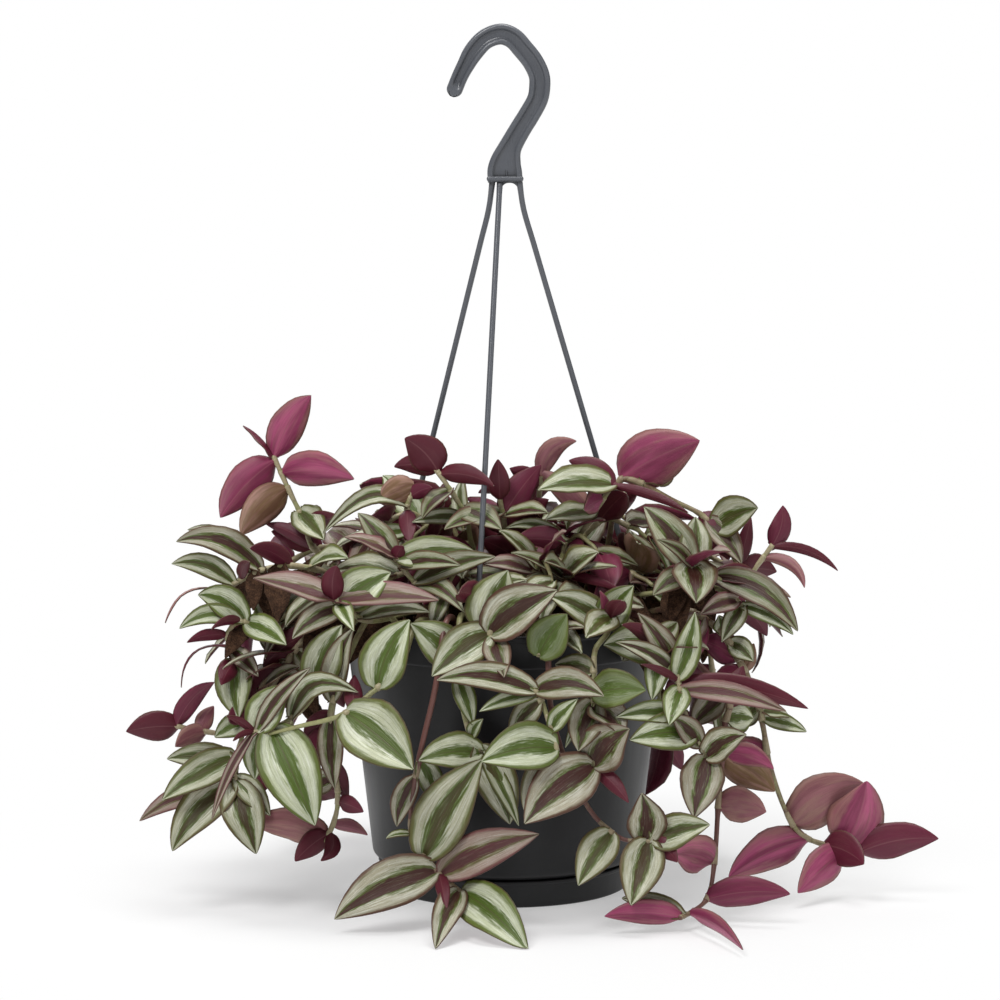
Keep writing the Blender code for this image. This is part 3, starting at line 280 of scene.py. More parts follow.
plasticLook = {  # what both plastics share; a noise is its scale, its detail and its roughness
    "patches": (28.0, 4.0, 0.65),
    "grain": (1900.0, 2.0),
    "streaks": (260.0, 2.0),
    "streakStretch": (1.0, 1.0, 0.06),
    "dustFacing": (0.2, 1.0),
    "cloudy": (0.42, 0.72, 0.22),
    # the painted shade in corners and recesses: how far it looks, where it starts and is full, its depth and
    # colour
    "cornerShadeReach": 0.0045,
    "cornerShadeRange": (0.95, 0.45),
    "cornerShadeDepth": 0.8,
    "cornerShadeColour": (0.004, 0.004, 0.005),
    "unevenRoughness": 0.12,
    "streakHeight": 0.35,
    "bump": (0.22, 0.0002),
}


def makePlastic(name):
    # moulded plastic: fine grain, faint cloudy patches, a little dust on the faces that look up, and painted
    # shade in the corners
    values = plastics[name]
    look = plasticLook
    material, tree, shader = newMaterial(name)
    place = objectPlace(tree)
    patches = noiseOf(tree, place, *look["patches"])
    grain = noiseOf(tree, place, *look["grain"])
    stretched = newNode(tree, "ShaderNodeMapping", {"Vector": place, "Scale": look["streakStretch"]})
    streaks = noiseOf(tree, stretched.outputs[0], *look["streaks"])
    normal = newNode(tree, "ShaderNodeNewGeometry").outputs["Normal"]
    facing = newNode(tree, "ShaderNodeSeparateXYZ", {"Vector": normal}).outputs["Z"]
    dust = times(tree, easeStep(tree, facing, *look["dustFacing"]), patches, clamp=True)
    share = plus(tree, dust, easeTo(tree, patches, *look["cloudy"]), clamp=True)
    colour = blendColour(tree, share, values["colour"], values["dust"])
    # painted shade: the colour darkens in corners and recesses, where other surfaces are near
    hollow = newNode(tree, "ShaderNodeAmbientOcclusion", {"Distance": look["cornerShadeReach"]}, samples=6)
    cornerShade = easeTo(tree, hollow.outputs["AO"], *look["cornerShadeRange"], values["cornerShade"])
    cornerShaded = blendColour(tree, look["cornerShadeDepth"], colour, look["cornerShadeColour"])
    tree.links.new(blendColour(tree, cornerShade, colour, cornerShaded), shader.inputs["Base Color"])
    uneven = times(tree, plus(tree, patches, streaks), look["unevenRoughness"])
    tree.links.new(plus(tree, uneven, values["roughness"] - look["unevenRoughness"]),
                   shader.inputs["Roughness"])
    shader.inputs["Specular IOR Level"].default_value = values["gloss"]
    setBump(tree, shader, plus(tree, grain, times(tree, streaks, look["streakHeight"])), *look["bump"])
    return material


crumbs = {  # the dark and the pale colour and the scale of the lumps
    "pottingSoil": ((0.012, 0.007, 0.004), (0.075, 0.045, 0.026), 240.0),
    "dryLitter": ((0.034, 0.016, 0.009), (0.125, 0.064, 0.034), 260.0),
}
crumbLook = {
    "lumps": (6.0, 0.75),  # detail and roughness
    "fibres": (3.0, 0.7),
    "fibreScale": 5,
    "paleRange": (0.40, 0.66),
    "roughness": 0.95,
    "gloss": 0.25,
    "bump": (0.8, 0.0012),
}


def makeCrumbs(name):
    dark, pale, scale = crumbs[name]
    look = crumbLook
    material, tree, shader = newMaterial(name)
    place = objectPlace(tree)
    lumps = noiseOf(tree, place, scale, *look["lumps"])
    fibres = noiseOf(tree, place, scale * look["fibreScale"], *look["fibres"])
    both = plus(tree, lumps, fibres)
    share = easeStep(tree, times(tree, both, 0.5), *look["paleRange"])
    tree.links.new(blendColour(tree, share, dark, pale), shader.inputs["Base Color"])
    shader.inputs["Roughness"].default_value = look["roughness"]
    shader.inputs["Specular IOR Level"].default_value = look["gloss"]
    setBump(tree, shader, both, *look["bump"])
    return material


# leaves and stems

leafColours = {
    "green": (0.084, 0.134, 0.016),
    "greenEdge": (0.120, 0.158, 0.030),
    "maroon": (0.048, 0.013, 0.009),
    "maroonEdge": (0.115, 0.052, 0.030),
    "rim": (0.085, 0.038, 0.026),
    "silver": (0.560, 0.600, 0.400),
    "silverWarm": (0.450, 0.415, 0.300),
    "silverDull": (0.205, 0.160, 0.120),
    "silverHighlight": (0.880, 0.910, 0.800),
    "blush": (0.300, 0.080, 0.120),
    "paintedGlint": (0.850, 0.870, 0.740),
    "patchShade": (0.020, 0.025, 0.010),
}
undersides = (  # colour at 0, then the others in even steps to 1
    (0.100, 0.010, 0.022),
    (0.320, 0.036, 0.125),
    (0.315, 0.122, 0.145),
    (0.190, 0.115, 0.045),
)
# each tone has the stripe, 0 green to 1 maroon, then how pink the silver is, or below 0 how faint, then the
# place along the undersides' colours
leafTones = {
    "leafGreen": (0.0, -1.0, 0.05),
    "green": (0.0, 0.0, 0.05),
    "olive": (0.45, 0.0, 0.10),
    "maroon": (0.90, 0.05, 0.0),
    "shade": (0.92, -0.40, 0.0),
    "magenta": (0.9, 0.3, 0.22),
    "rose": (0.9, 0.3, 0.44),
    "plum": (1.0, 0.55, 0.12),
    "burgundy": (1.0, 0.3, 0.02),
    "pink": (0.9, 0.3, 0.34),
    "dusty": (0.8, 0.2, 0.66),
    "tan": (0.5, 0.0, 1.0),
}


# in the looks below, places across a leaf run from 0 at the midrib to 1 at the margin, streaks are how many
# lie across and along the leaf, and three numbers are where something starts, where it is full, and its
# strength there

topLook = {
    "seedScale": 90.0,
    "streakRoughness": 0.62,
    "broadStreaks": (4.5, 3.0),
    "fineStreaks": (17.0, 5.0),
    "hairStreaks": (80.0, 5.0),
    "shadePatchStreaks": (1.6, 1.2),
    "broadJag": 0.55,  # shares of the streaks in the silver's borders
    "fineJag": 0.45,
    "innerJag": 1.05,
    "outerJag": 0.55,
    "narrowing": 0.55,  # of the coloured middle, from the base to the tip
    "middleWidth": (0.20, 0.34),  # on a green leaf and on a maroon one
    "innerRamp": 0.25,
    "marginStart": (0.74, 0.82),  # on a green leaf and on a maroon one
    "outerRamp": (0.07, 0.12),  # before and after that place
    "faintness": 0.80,
    "deepRamp": (0.05, 0.09),
    "ripeStripes": (0.05, 0.75),
    "frostedBy": 0.6,
    "frosted": (0.50, 0.84, 0.42),
    "maroonMargin": (0.72, 0.93),
    "margin": (0.5, 0.8),
    "greenedBy": 0.55,
    "greened": (0.36, 0.70, 0.30),
    "glintSpots": (1700.0, 2.0),
    "glinting": (0.56, 0.72, 0.42),
    "highlighted": (0.38, 0.78, 0.72),
    "dullStripes": (0.2, 0.7),
    "dullSeeds": (0.75, 0.10),
    "dullShare": 0.45,
    "pinkPlaces": (0.2, 1.0),
    "pinkShares": (0.40, 0.85),
    "veins": 40.0,
    "veinRange": (0.55, 1.0),
    "veinShare": 0.12,
    "keelWidth": 0.045,
    "keelShadeShare": 0.45,
    "rim": (0.93, 0.99, 0.62),
    # cloudy and patchShadeDepth set the broad patches of painted shade
    "cloudy": (0.65, 0.35, 0.35),
    "patchShadeDepth": 0.6,
    "gloss": 0.36,
    "roughness": 0.40,
    "silverSmoothness": 0.10,
    "hairRoughness": 0.10,
    "cells": (1500.0, 2.0),
    "cellHeight": 0.6,
    "hairHeight": 0.6,
    "veinHeight": -0.6,
    "bump": (0.40, 0.0005),
}


def leafStreaks(tree, place, look, counts, detail, roughness):
    # noise drawn out along the leaf, different on each leaf
    across, along, seed = place
    vector = newNode(tree, "ShaderNodeCombineXYZ", {
        "X": times(tree, across, look[counts][0]), "Y": times(tree, along, look[counts][1]),
        "Z": times(tree, seed, look["seedScale"])}).outputs[0]
    return noiseOf(tree, vector, 1.0, detail, roughness)


def makeLeafTop():
    # two silver bands with streaky borders, between a coloured middle and a coloured margin
    look = topLook
    material, tree, shader = newMaterial("leafTop")
    place = attributeParts(tree, "leafPlace")
    across, along, seed = place
    stripe, blush, _ = attributeParts(tree, "leafTone")
    away = maths(tree, "ABSOLUTE", across)
    broad = leafStreaks(tree, place, look, "broadStreaks", 3.0, look["streakRoughness"])
    fine = leafStreaks(tree, place, look, "fineStreaks", 4.0, look["streakRoughness"])
    hair = leafStreaks(tree, place, look, "hairStreaks", 2.0, look["streakRoughness"])
    shadePatches = leafStreaks(tree, place, look, "shadePatchStreaks", 2.0, look["streakRoughness"])
    bothStreaks = plus(tree, times(tree, broad, look["broadJag"]), times(tree, fine, look["fineJag"]))
    jag = minus(tree, bothStreaks, 0.5)
    spread = plus(tree, away, times(tree, jag, look["innerJag"]))

    narrowing = minus(tree, 1.0, times(tree, maths(tree, "POWER", along, 2.0), look["narrowing"]))
    middleWidth = times(tree, blendNumber(tree, stripe, *look["middleWidth"]), narrowing)
    silverStart = easeStep(tree, spread, middleWidth, plus(tree, middleWidth, look["innerRamp"]))
    marginStart = blendNumber(tree, stripe, *look["marginStart"])
    before, after = look["outerRamp"]
    silverEnd = easeStep(tree, plus(tree, away, times(tree, jag, look["outerJag"])),
                         minus(tree, marginStart, before), plus(tree, marginStart, after))
    silverShare = times(tree, silverStart, minus(tree, 1.0, silverEnd))
    strength = plus(tree, 1.0, times(tree, maths(tree, "MINIMUM", blush, 0.0), look["faintness"]))
    silverShare = times(tree, silverShare, strength)

    # the middle: green where it meets the silver, maroon towards the midrib on young leaves
    before, after = look["deepRamp"]
    deep = easeStep(tree, spread, plus(tree, middleWidth, before), minus(tree, middleWidth, after))
    ripe = times(tree, deep, easeStep(tree, stripe, *look["ripeStripes"]))
    middle = blendColour(tree, ripe, leafColours["green"], leafColours["maroon"])
    frosted = blendColour(tree, look["frostedBy"], middle, leafColours["silver"])
    middle = blendColour(tree, easeTo(tree, fine, *look["frosted"]), middle, frosted)
    maroonShare = times(tree, stripe, easeStep(tree, away, *look["maroonMargin"]))
    edge = blendColour(tree, maroonShare, leafColours["greenEdge"], leafColours["maroonEdge"])
    ground = blendColour(tree, easeStep(tree, away, *look["margin"]), middle, edge)

    silver = blendColour(tree, stripe, leafColours["silver"], leafColours["silverWarm"])
    greened = blendColour(tree, look["greenedBy"], silver, leafColours["green"])
    silver = blendColour(tree, easeTo(tree, hair, *look["greened"]), silver, greened)
    # painted highlight: fine bright glints on the silver
    glintSpots = noiseOf(tree, objectPlace(tree), *look["glintSpots"])
    silver = blendColour(tree, easeTo(tree, glintSpots, *look["glinting"]), silver, leafColours["paintedGlint"])
    # painted highlight: brighter streaks along the silver bands
    silver = blendColour(tree, easeTo(tree, fine, *look["highlighted"]), silver, leafColours["silverHighlight"])
    dull = times(tree, easeStep(tree, stripe, *look["dullStripes"]), easeStep(tree, seed, *look["dullSeeds"]))
    silver = blendColour(tree, times(tree, dull, look["dullShare"]), silver, leafColours["silverDull"])
    colour = blendColour(tree, silverShare, ground, silver)
    pinkest = blendNumber(tree, easeStep(tree, away, *look["pinkPlaces"]), *look["pinkShares"])
    colour = blendColour(tree, times(tree, blush, pinkest), colour, leafColours["blush"])

    # the veins and the rim of the margin are a little darker in colour, and the keel along the midrib is
    # darker as painted shade in its crease
    vein = easeStep(tree, maths(tree, "SINE", times(tree, across, look["veins"])), *look["veinRange"])
    keelShade = easeStep(tree, away, look["keelWidth"], 0.0)
    shade = plus(tree, times(tree, vein, look["veinShare"]), easeTo(tree, away, *look["rim"]))
    shade = plus(tree, shade, times(tree, keelShade, look["keelShadeShare"]), clamp=True)
    colour = blendColour(tree, shade, colour, leafColours["rim"])
    # painted shade: broad patches of each leaf darken towards near black
    patchShaded = blendColour(tree, look["patchShadeDepth"], colour, leafColours["patchShade"])
    colour = blendColour(tree, easeTo(tree, shadePatches, *look["cloudy"]), colour, patchShaded)
    tree.links.new(colour, shader.inputs["Base Color"])

    shader.inputs["Specular IOR Level"].default_value = look["gloss"]
    rough = minus(tree, look["roughness"], times(tree, silverShare, look["silverSmoothness"]))
    rough = plus(tree, rough, times(tree, hair, look["hairRoughness"]))
    tree.links.new(rough, shader.inputs["Roughness"])
    cells = noiseOf(tree, objectPlace(tree), *look["cells"])
    relief = plus(tree, times(tree, hair, look["hairHeight"]), times(tree, vein, look["veinHeight"]))
    setBump(tree, shader, plus(tree, times(tree, cells, look["cellHeight"]), relief), *look["bump"])
    return material


underLook = {
    "seedScale": 70.0,
    "broadStreaks": (3.0, 1.6),
    "hairStreaks": (48.0, 3.0),
    "flushStreaks": (1.5, 0.8),
    "shadeStreaks": (2.2, 0.9),
    "fadedRange": (0.42, 0.72),
    "fadedShare": (0.04, 0.80),  # on every leaf, and more with its tone
    "fadedColour": (0.360, 0.220, 0.160),
    "youngTones": (0.16, 0.32),
    "olderTones": (0.62, 0.44),
    "flushRange": (0.40, 0.62),
    "flushShare": 0.6,
    "flushColour": (0.560, 0.120, 0.250),
    "shaded": (0.62, 0.36, 0.40),
    "shadeColour": (0.090, 0.012, 0.024),
    "agedTones": (0.14, 0.34),
    "agedJag": 1.3,
    "agedRange": (0.42, 0.95),
    "agedShare": 0.55,
    "agedColour": (0.380, 0.205, 0.165),
    "hairRange": (0.45, 0.75),
    "hairDepth": 0.24,
    "hairColour": (0.060, 0.008, 0.016),
    "edge": (0.86, 0.99, 0.5),
    "edgeColour": (0.120, 0.070, 0.040),
    "rib": (0.06, 0.0, 0.26),
    "ribColour": (0.330, 0.150, 0.150),
    "roughness": 0.44,
    "gloss": 0.36,
    "cells": (1300.0, 2.0),
    "bump": (0.25, 0.0004),
}


def makeLeafUnder():
    # burgundy to pink or tan, with fine lengthwise streaks and a paler midrib
    look = underLook
    material, tree, shader = newMaterial("leafUnder")
    place = attributeParts(tree, "leafPlace")
    _, _, under = attributeParts(tree, "leafTone")
    away = maths(tree, "ABSOLUTE", place[0])
    ramp = newNode(tree, "ShaderNodeValToRGB", {"Fac": under})
    stops = ramp.color_ramp.elements
    while len(stops) < len(undersides):
        stops.new(0.5)
    for index, colour in enumerate(undersides):
        stops[index].position = index / (len(undersides) - 1)
        stops[index].color = (*colour, 1)
    broad, hair, flushes, shades = (leafStreaks(tree, place, look, counts, 3.0, 0.6) for counts in (
        "broadStreaks", "hairStreaks", "flushStreaks", "shadeStreaks"))

    least, more = look["fadedShare"]
    faded = times(tree, easeStep(tree, broad, *look["fadedRange"]),
                  plus(tree, least, times(tree, under, more)), clamp=True)
    colour = blendColour(tree, faded, ramp.outputs["Color"], look["fadedColour"])
    grown = easeStep(tree, under, *look["olderTones"])
    young = times(tree, easeStep(tree, under, *look["youngTones"]), grown)
    flushed = times(tree, young, easeStep(tree, flushes, *look["flushRange"]))
    colour = blendColour(tree, times(tree, flushed, look["flushShare"]), colour, look["flushColour"])
    colour = blendColour(tree, easeTo(tree, shades, *look["shaded"]), colour, look["shadeColour"])
    jagged = plus(tree, away, times(tree, minus(tree, broad, 0.5), look["agedJag"]))
    aged = times(tree, easeStep(tree, under, *look["agedTones"]), easeStep(tree, jagged, *look["agedRange"]))
    colour = blendColour(tree, times(tree, aged, look["agedShare"]), colour, look["agedColour"])
    darker = blendColour(tree, look["hairDepth"], colour, look["hairColour"])
    colour = blendColour(tree, easeStep(tree, hair, *look["hairRange"]), colour, darker)
    colour = blendColour(tree, easeTo(tree, away, *look["edge"]), colour, look["edgeColour"])
    colour = blendColour(tree, easeTo(tree, away, *look["rib"]), colour, look["ribColour"])
    tree.links.new(colour, shader.inputs["Base Color"])
    shader.inputs["Roughness"].default_value = look["roughness"]
    shader.inputs["Specular IOR Level"].default_value = look["gloss"]
    cells = noiseOf(tree, objectPlace(tree), *look["cells"])
    setBump(tree, shader, plus(tree, hair, cells), *look["bump"])
    return material


stemLook = {
    "pale": (0.330, 0.330, 0.150),
    "purple": (0.150, 0.062, 0.050),
    "sheath": (0.420, 0.370, 0.220),
    "fleck": (0.070, 0.035, 0.030),
    "mottles": (160.0, 4.0, 0.7),
    "fine": (900.0, 2.0),
    "purpleRange": (0.25, 0.85),
    "sheathPurple": 0.45,
    "flecked": (0.45, 0.8, 0.35),
    "roughness": 0.42,
    "bump": (0.3, 0.0004),
}


def makeStemSkin():
    # X of stemTone is 0 on pale young stems and 1 on purple-brown ones, Y is 1 on sheaths
    look = stemLook
    material, tree, shader = newMaterial("stemSkin")
    age, sheath, _ = attributeParts(tree, "stemTone")
    place = objectPlace(tree)
    mottled = noiseOf(tree, place, *look["mottles"])
    fine = noiseOf(tree, place, *look["fine"])
    share = easeStep(tree, plus(tree, age, minus(tree, mottled, 0.5)), *look["purpleRange"])
    colour = blendColour(tree, share, look["pale"], look["purple"])
    paleSheath = blendColour(tree, times(tree, share, look["sheathPurple"]), look["sheath"], look["purple"])
    colour = blendColour(tree, sheath, colour, paleSheath)
    colour = blendColour(tree, easeTo(tree, fine, *look["flecked"]), colour, look["fleck"])
    tree.links.new(colour, shader.inputs["Base Color"])
    shader.inputs["Roughness"].default_value = look["roughness"]
    setBump(tree, shader, plus(tree, fine, mottled), *look["bump"])
    return material


finishes = {
    "pot": makePlastic("potPlastic"),
    "hanger": makePlastic("hangerPlastic"),
    "soil": makeCrumbs("pottingSoil"),
    "litter": makeCrumbs("dryLitter"),
    "leafTop": makeLeafTop(),
    "leafUnder": makeLeafUnder(),
    "stem": makeStemSkin(),
}
print("the finishes are mixed")


# pot and saucer, turned

pot = {
    "turnSteps": 160,
    "wall": 0.0018,
    "footRadius": 0.0605,
    "cornerRadius": 0.0690,
    "cornerHeight": 0.0170,
    "topRadius": 0.0835,
    "height": 0.1420,
    "bandHeight": 0.1255,
    "bandRadius": 0.0855,
    "saucerHeight": 0.0140,
    "saucerFoot": 0.0640,
    "saucerRim": 0.0660,
    "saucerFloor": 0.0024,
    "gap": 0.0003,
    "cornerSteps": 4,
    "weld": 0.00002,
}


def roundedProfile(points):
    # each point is (radius, height, rounding of its corner)
    profile = []
    for index, (radius, height, rounding) in enumerate(points):
        here = Vector((radius, height))
        if not rounding or index in (0, len(points) - 1):
            profile.append(here)
            continue
        before = Vector(points[index - 1][:2]) - here
        after = Vector(points[index + 1][:2]) - here
        reach = min(rounding, 0.45 * before.length, 0.45 * after.length)
        start = here + before.normalized() * reach
        end = here + after.normalized() * reach
        for step in range(pot["cornerSteps"] + 1):
            t = step / pot["cornerSteps"]
            profile.append(start * (1 - t) ** 2 + here * (2 * t * (1 - t)) + end * t ** 2)
    return profile


def turnedShape(profile):
    edit = bmesh.new()
    points = [edit.verts.new((radius, 0, height)) for radius, height in profile]
    edges = [edit.edges.new(pair) for pair in zip(points, points[1:])]
    bmesh.ops.spin(edit, geom=points + edges, cent=(0, 0, 0), axis=(0, 0, 1), dvec=(0, 0, 0),
                   angle=2 * math.pi, steps=pot["turnSteps"], use_merge=True)
    bmesh.ops.remove_doubles(edit, verts=edit.verts, dist=pot["weld"])
    bmesh.ops.recalc_face_normals(edit, faces=edit.faces)
    return edit


def wallRadius(height):
    share = (height - pot["cornerHeight"]) / (pot["height"] - pot["cornerHeight"])
    return pot["cornerRadius"] + (pot["topRadius"] - pot["cornerRadius"]) * share


def makePot():
    wall = pot["wall"]
    top = pot["height"]
    band = pot["bandHeight"]
    corner = pot["cornerHeight"]
    floor = pot["saucerFloor"] + pot["gap"]
    shoulder = pot["saucerHeight"] + pot["gap"]
    profile = roundedProfile([
        (0, floor + wall, 0),
        (pot["footRadius"] - wall, floor + wall, 0.001),
        (pot["footRadius"] - wall, shoulder + wall, 0.001),
        (wallRadius(corner) - wall, corner + 0.003, 0.002),
        (wallRadius(band) - wall, band, 0.001),
        (pot["bandRadius"] - 1.4 * wall, band + 0.002, 0.001),
        (pot["bandRadius"] - wall, top, 0.0008),
        (pot["bandRadius"] + 0.0002, top, 0.0010),
        (pot["bandRadius"] + 0.0002, top - 0.0026, 0.0006),
        (pot["bandRadius"] - 0.0004, top - 0.0032, 0.0006),
        (pot["bandRadius"] - 0.0004, band, 0.0010),
        (wallRadius(band) + 0.0001, band - 0.0006, 0.0006),
        (wallRadius(band * 0.5), band * 0.5, 0),
        (wallRadius(corner), corner, 0.0022),
        (pot["cornerRadius"] - 0.0045, shoulder, 0.0010),
        (pot["footRadius"], shoulder, 0.0006),
        (pot["footRadius"], floor, 0.0008),
        (0, floor, 0),
    ])
    newPiece("hangingPot", turnedShape(profile), [finishes["pot"]], ["pot"], guard=True)


def makeSaucer():
    height = pot["saucerHeight"]
    profile = roundedProfile([
        (0, pot["saucerFloor"], 0),
        (pot["saucerFoot"] - pot["wall"] - 0.0006, pot["saucerFloor"], 0.0012),
        (pot["saucerRim"] - pot["wall"], height, 0.0005),
        (pot["saucerRim"] + 0.0002, height, 0.0007),
        (pot["saucerRim"] + 0.0002, height - 0.0016, 0.0004),
        (pot["saucerRim"] - 0.0004, height - 0.0020, 0.0004),
        (pot["saucerFoot"], 0, 0.0016),
        (pot["saucerFoot"] - 0.006, 0, 0.0006),
        (pot["saucerFoot"] - 0.008, 0.0008, 0.0006),
        (0, 0.0008, 0),
    ])
    newPiece("potSaucer", turnedShape(profile), [finishes["pot"]], ["saucer"])


makePot()
makeSaucer()
print("the pot stands in its saucer")


# hanger: a flat hook with raised edges, on three rods that clip inside the pot's rim

hanger = {
    "baseHeight": 0.3636,
    "thickness": 0.0056,
    "web": 0.0022,
    "flange": 0.0027,
    "edgeRounding": 0.0012,
    "slope": 0.0007,
    "sectionSides": 32,
    "tipSteps": 9,
    "recessRun": 0.0030,  # over which the recess deepens, from the tip
    "recessEnd": (0.0006, 0.0014),  # where it ends above the foot, and over which it gets shallow
    "collar": (0.0188, 0.0066, 0.0028),
    "collarShift": -0.0004,
    "collarRounding": 0.00125,
    "tick": (0.0007, 0.0034, 0.0042),
    "tickPlace": (0.0003, 0.0036),
    "smallRounding": 0.0003,
    "rod": 0.00145,
    "rodSides": 14,
    "rodFlare": 0.15,
    "overlap": 0.0008,  # how far rods and web reach into the collar
    "footRadius": 0.0745,
    "footHeight": 0.1290,
    "footOut": 0.0008,
    "footUp": 0.001,
    "clip": (0.0046, 0.0090),
    "clipRounding": 0.0006,
    "rods": {  # azimuth, where it starts along X, and how far its bend leans inwards
        "front": (-11.5, -0.0030, 0.0),
        "left": (-126.0, -0.0068, 0.0016),
        "right": (108.0, 0.0068, 0.0020),
    },
    "rodBend": 0.0150,  # below the collar, where the side rods turn outwards
    "bendShare": 0.08,
    "webDrop": (0.0007, 0.0048, 2.6),  # at the middle, more at the ends, and the arch's power
    "webThickness": 0.0016,
    "webOverhang": 0.0006,
}
weldDistance = 0.000005
hookSpine = [  # x, z and width in millimetres, from the tip to the foot
    (-26.0, 410.5, 8.2), (-23.4, 416.8, 8.3), (-20.4, 422.6, 8.9), (-16.4, 429.4, 10.2), (-10.6, 435.6, 10.4),
    (-3.0, 438.3, 10.7), (3.5, 436.2, 10.7), (8.6, 430.8, 10.7), (13.6, 424.5, 10.7), (16.8, 417.7, 10.7),
    (17.2, 411.5, 10.8), (16.0, 405.1, 10.7), (11.9, 397.6, 10.9), (7.0, 389.7, 11.0), (2.4, 381.4, 11.8),
    (0.2, 374.9, 15.2), (-0.6, 369.4, 17.6), (-0.3, 363.6, 17.8),
]


def roundEdges(edit, size, sharperThan=0.8, segments=3):
    edges = [edge for edge in edit.edges
             if len(edge.link_faces) == 2 and edge.calc_face_angle(0) > sharperThan]
    bmesh.ops.bevel(edit, geom=edges, offset=size, offset_type="OFFSET", segments=segments, profile=0.5,
                    affect="EDGES", material=-1, clamp_overlap=True)


def roundedBlock(size, place, turn, rounding):
    edit = bmesh.new()
    bmesh.ops.create_cube(edit, size=1)
    bmesh.ops.scale(edit, verts=edit.verts, vec=size)
    roundEdges(edit, rounding)
    bmesh.ops.rotate(edit, verts=edit.verts, matrix=Matrix.Rotation(turn, 3, "Z"))
    bmesh.ops.translate(edit, verts=edit.verts, vec=place)
    return edit


def joinShapes(shapes):
    joined = bmesh.new()
    for shape in shapes:
        mesh = bpy.data.meshes.new("joining")
        shape.to_mesh(mesh)
        shape.free()
        joined.from_mesh(mesh)
        bpy.data.meshes.remove(mesh)
    return joined


def hookShape():
    # a closed section with a raised flange along each edge, swept from the rounded tip to the foot
    mm = 0.001
    spine = smoothCurve([(x * mm, z * mm, width * mm) for x, z, width in hookSpine], 6)
    half = hanger["thickness"] / 2
    start = (spine[0] - spine[1]).to_2d().normalized()
    tipRadius = spine[0].z / 2
    tipSteps = hanger["tipSteps"]
    recessEnd, recessFade = hanger["recessEnd"]
    stations = []
    for step in range(tipSteps, 0, -1):
        angle = math.pi / 2 * step / (tipSteps + 0.3)
        place = spine[0].to_2d() + start * (tipRadius * math.sin(angle))
        stations.append((place, -start, tipRadius * math.cos(angle), 0.0))
    for index, place in enumerate(spine):
        ahead = (spine[min(index + 1, len(spine) - 1)] - spine[max(index - 1, 0)]).to_2d().normalized()
        fromTip = (place.to_2d() - spine[0].to_2d()).length
        toFoot = (place.to_2d() - spine[-1].to_2d()).length
        depth = min(1, fromTip / hanger["recessRun"]) * min(1, max(0, toFoot - recessEnd) / recessFade)
        stations.append((place.to_2d(), ahead, place.z / 2, depth))
    edit = bmesh.new()
    grid = bmesh.ops.create_grid(edit, x_segments=len(stations) + 1, y_segments=hanger["sectionSides"],
                                 size=1)["verts"]
    for vert in grid:
        row = round((vert.co.x + 1) / 2 * (len(stations) + 1)) - 1
        place, ahead, wide, depth = stations[max(0, min(row, len(stations) - 1))]
        share = (vert.co.y + 1) / 2
        if row < 0 or row == len(stations):
            vert.co = (place.x, 0, place.y)
            continue
        away, thick = hookSection(share, wide, half, depth)
        across = Vector((-ahead.y, ahead.x)) * away
        vert.co = (place.x + across.x, thick, place.y + across.y)
    bmesh.ops.remove_doubles(edit, verts=edit.verts, dist=weldDistance)
    bmesh.ops.recalc_face_normals(edit, faces=edit.faces)
    return edit


def hookSection(share, wide, half, depth):
    # one turn round the section: rounded outer edge, flange top, slope down to the web, and the same again
    flange = min(hanger["flange"], 0.48 * wide)
    web = half - (half - hanger["web"] / 2) * depth
    slope = hanger["slope"]
    rounding = hanger["edgeRounding"]
    quarter = [(wide, 0.0), (wide, half - 1.6 * rounding), (wide - 0.3 * rounding, half - 0.5 * rounding),
               (wide - rounding, half), (wide - flange + 0.5 * rounding, half),
               (wide - flange - 0.2 * rounding, half - 0.3 * (half - web)),
               (wide - flange - slope, web), (0.5 * (wide - flange - slope), web), (0.0, web)]
    section = quarter + [(-away, thick) for away, thick in quarter[-2::-1]]
    section += [(away, -thick) for away, thick in section[-2:0:-1]] + [quarter[0]]
    place = share * (len(section) - 1)
    low = min(int(place + 1e-6), len(section) - 2)
    mixed = place - low
    return tuple(one * (1 - mixed) + other * mixed for one, other in zip(section[low], section[low + 1]))


def addTube(edit, path, radii, sides, tone=None, toneLayer=None):
    # a grid wrapped round the path, with its two end rings drawn together
    path = [path[0], *path, path[-1]]
    radii = [0.0, *radii, 0.0]
    ahead = (path[2] - path[1]).normalized()
    side = ahead.orthogonal().normalized()
    rings = []
    for index, place in enumerate(path):
        after = path[min(index + 1, len(path) - 1)]
        before = path[max(index - 1, 0)]
        if (after - before).length > 1e-9:
            turned = (after - before).normalized()
            side = ahead.rotation_difference(turned) @ side
            ahead = turned
        rings.append((place, side.copy(), ahead.cross(side).normalized()))
    made = bmesh.ops.create_grid(edit, x_segments=len(path) - 1, y_segments=sides, size=1)["verts"]
    for vert in made:
        ring = round((vert.co.x + 1) / 2 * (len(path) - 1))
        angle = math.pi * (vert.co.y + 1)
        place, side, other = rings[ring]
        vert.co = place + radii[ring] * (side * math.cos(angle) - other * math.sin(angle))
        if tone:
            vert[toneLayer] = tone(max(0, min(ring - 1, len(path) - 3)))
    bmesh.ops.remove_doubles(edit, verts=made, dist=weldDistance)


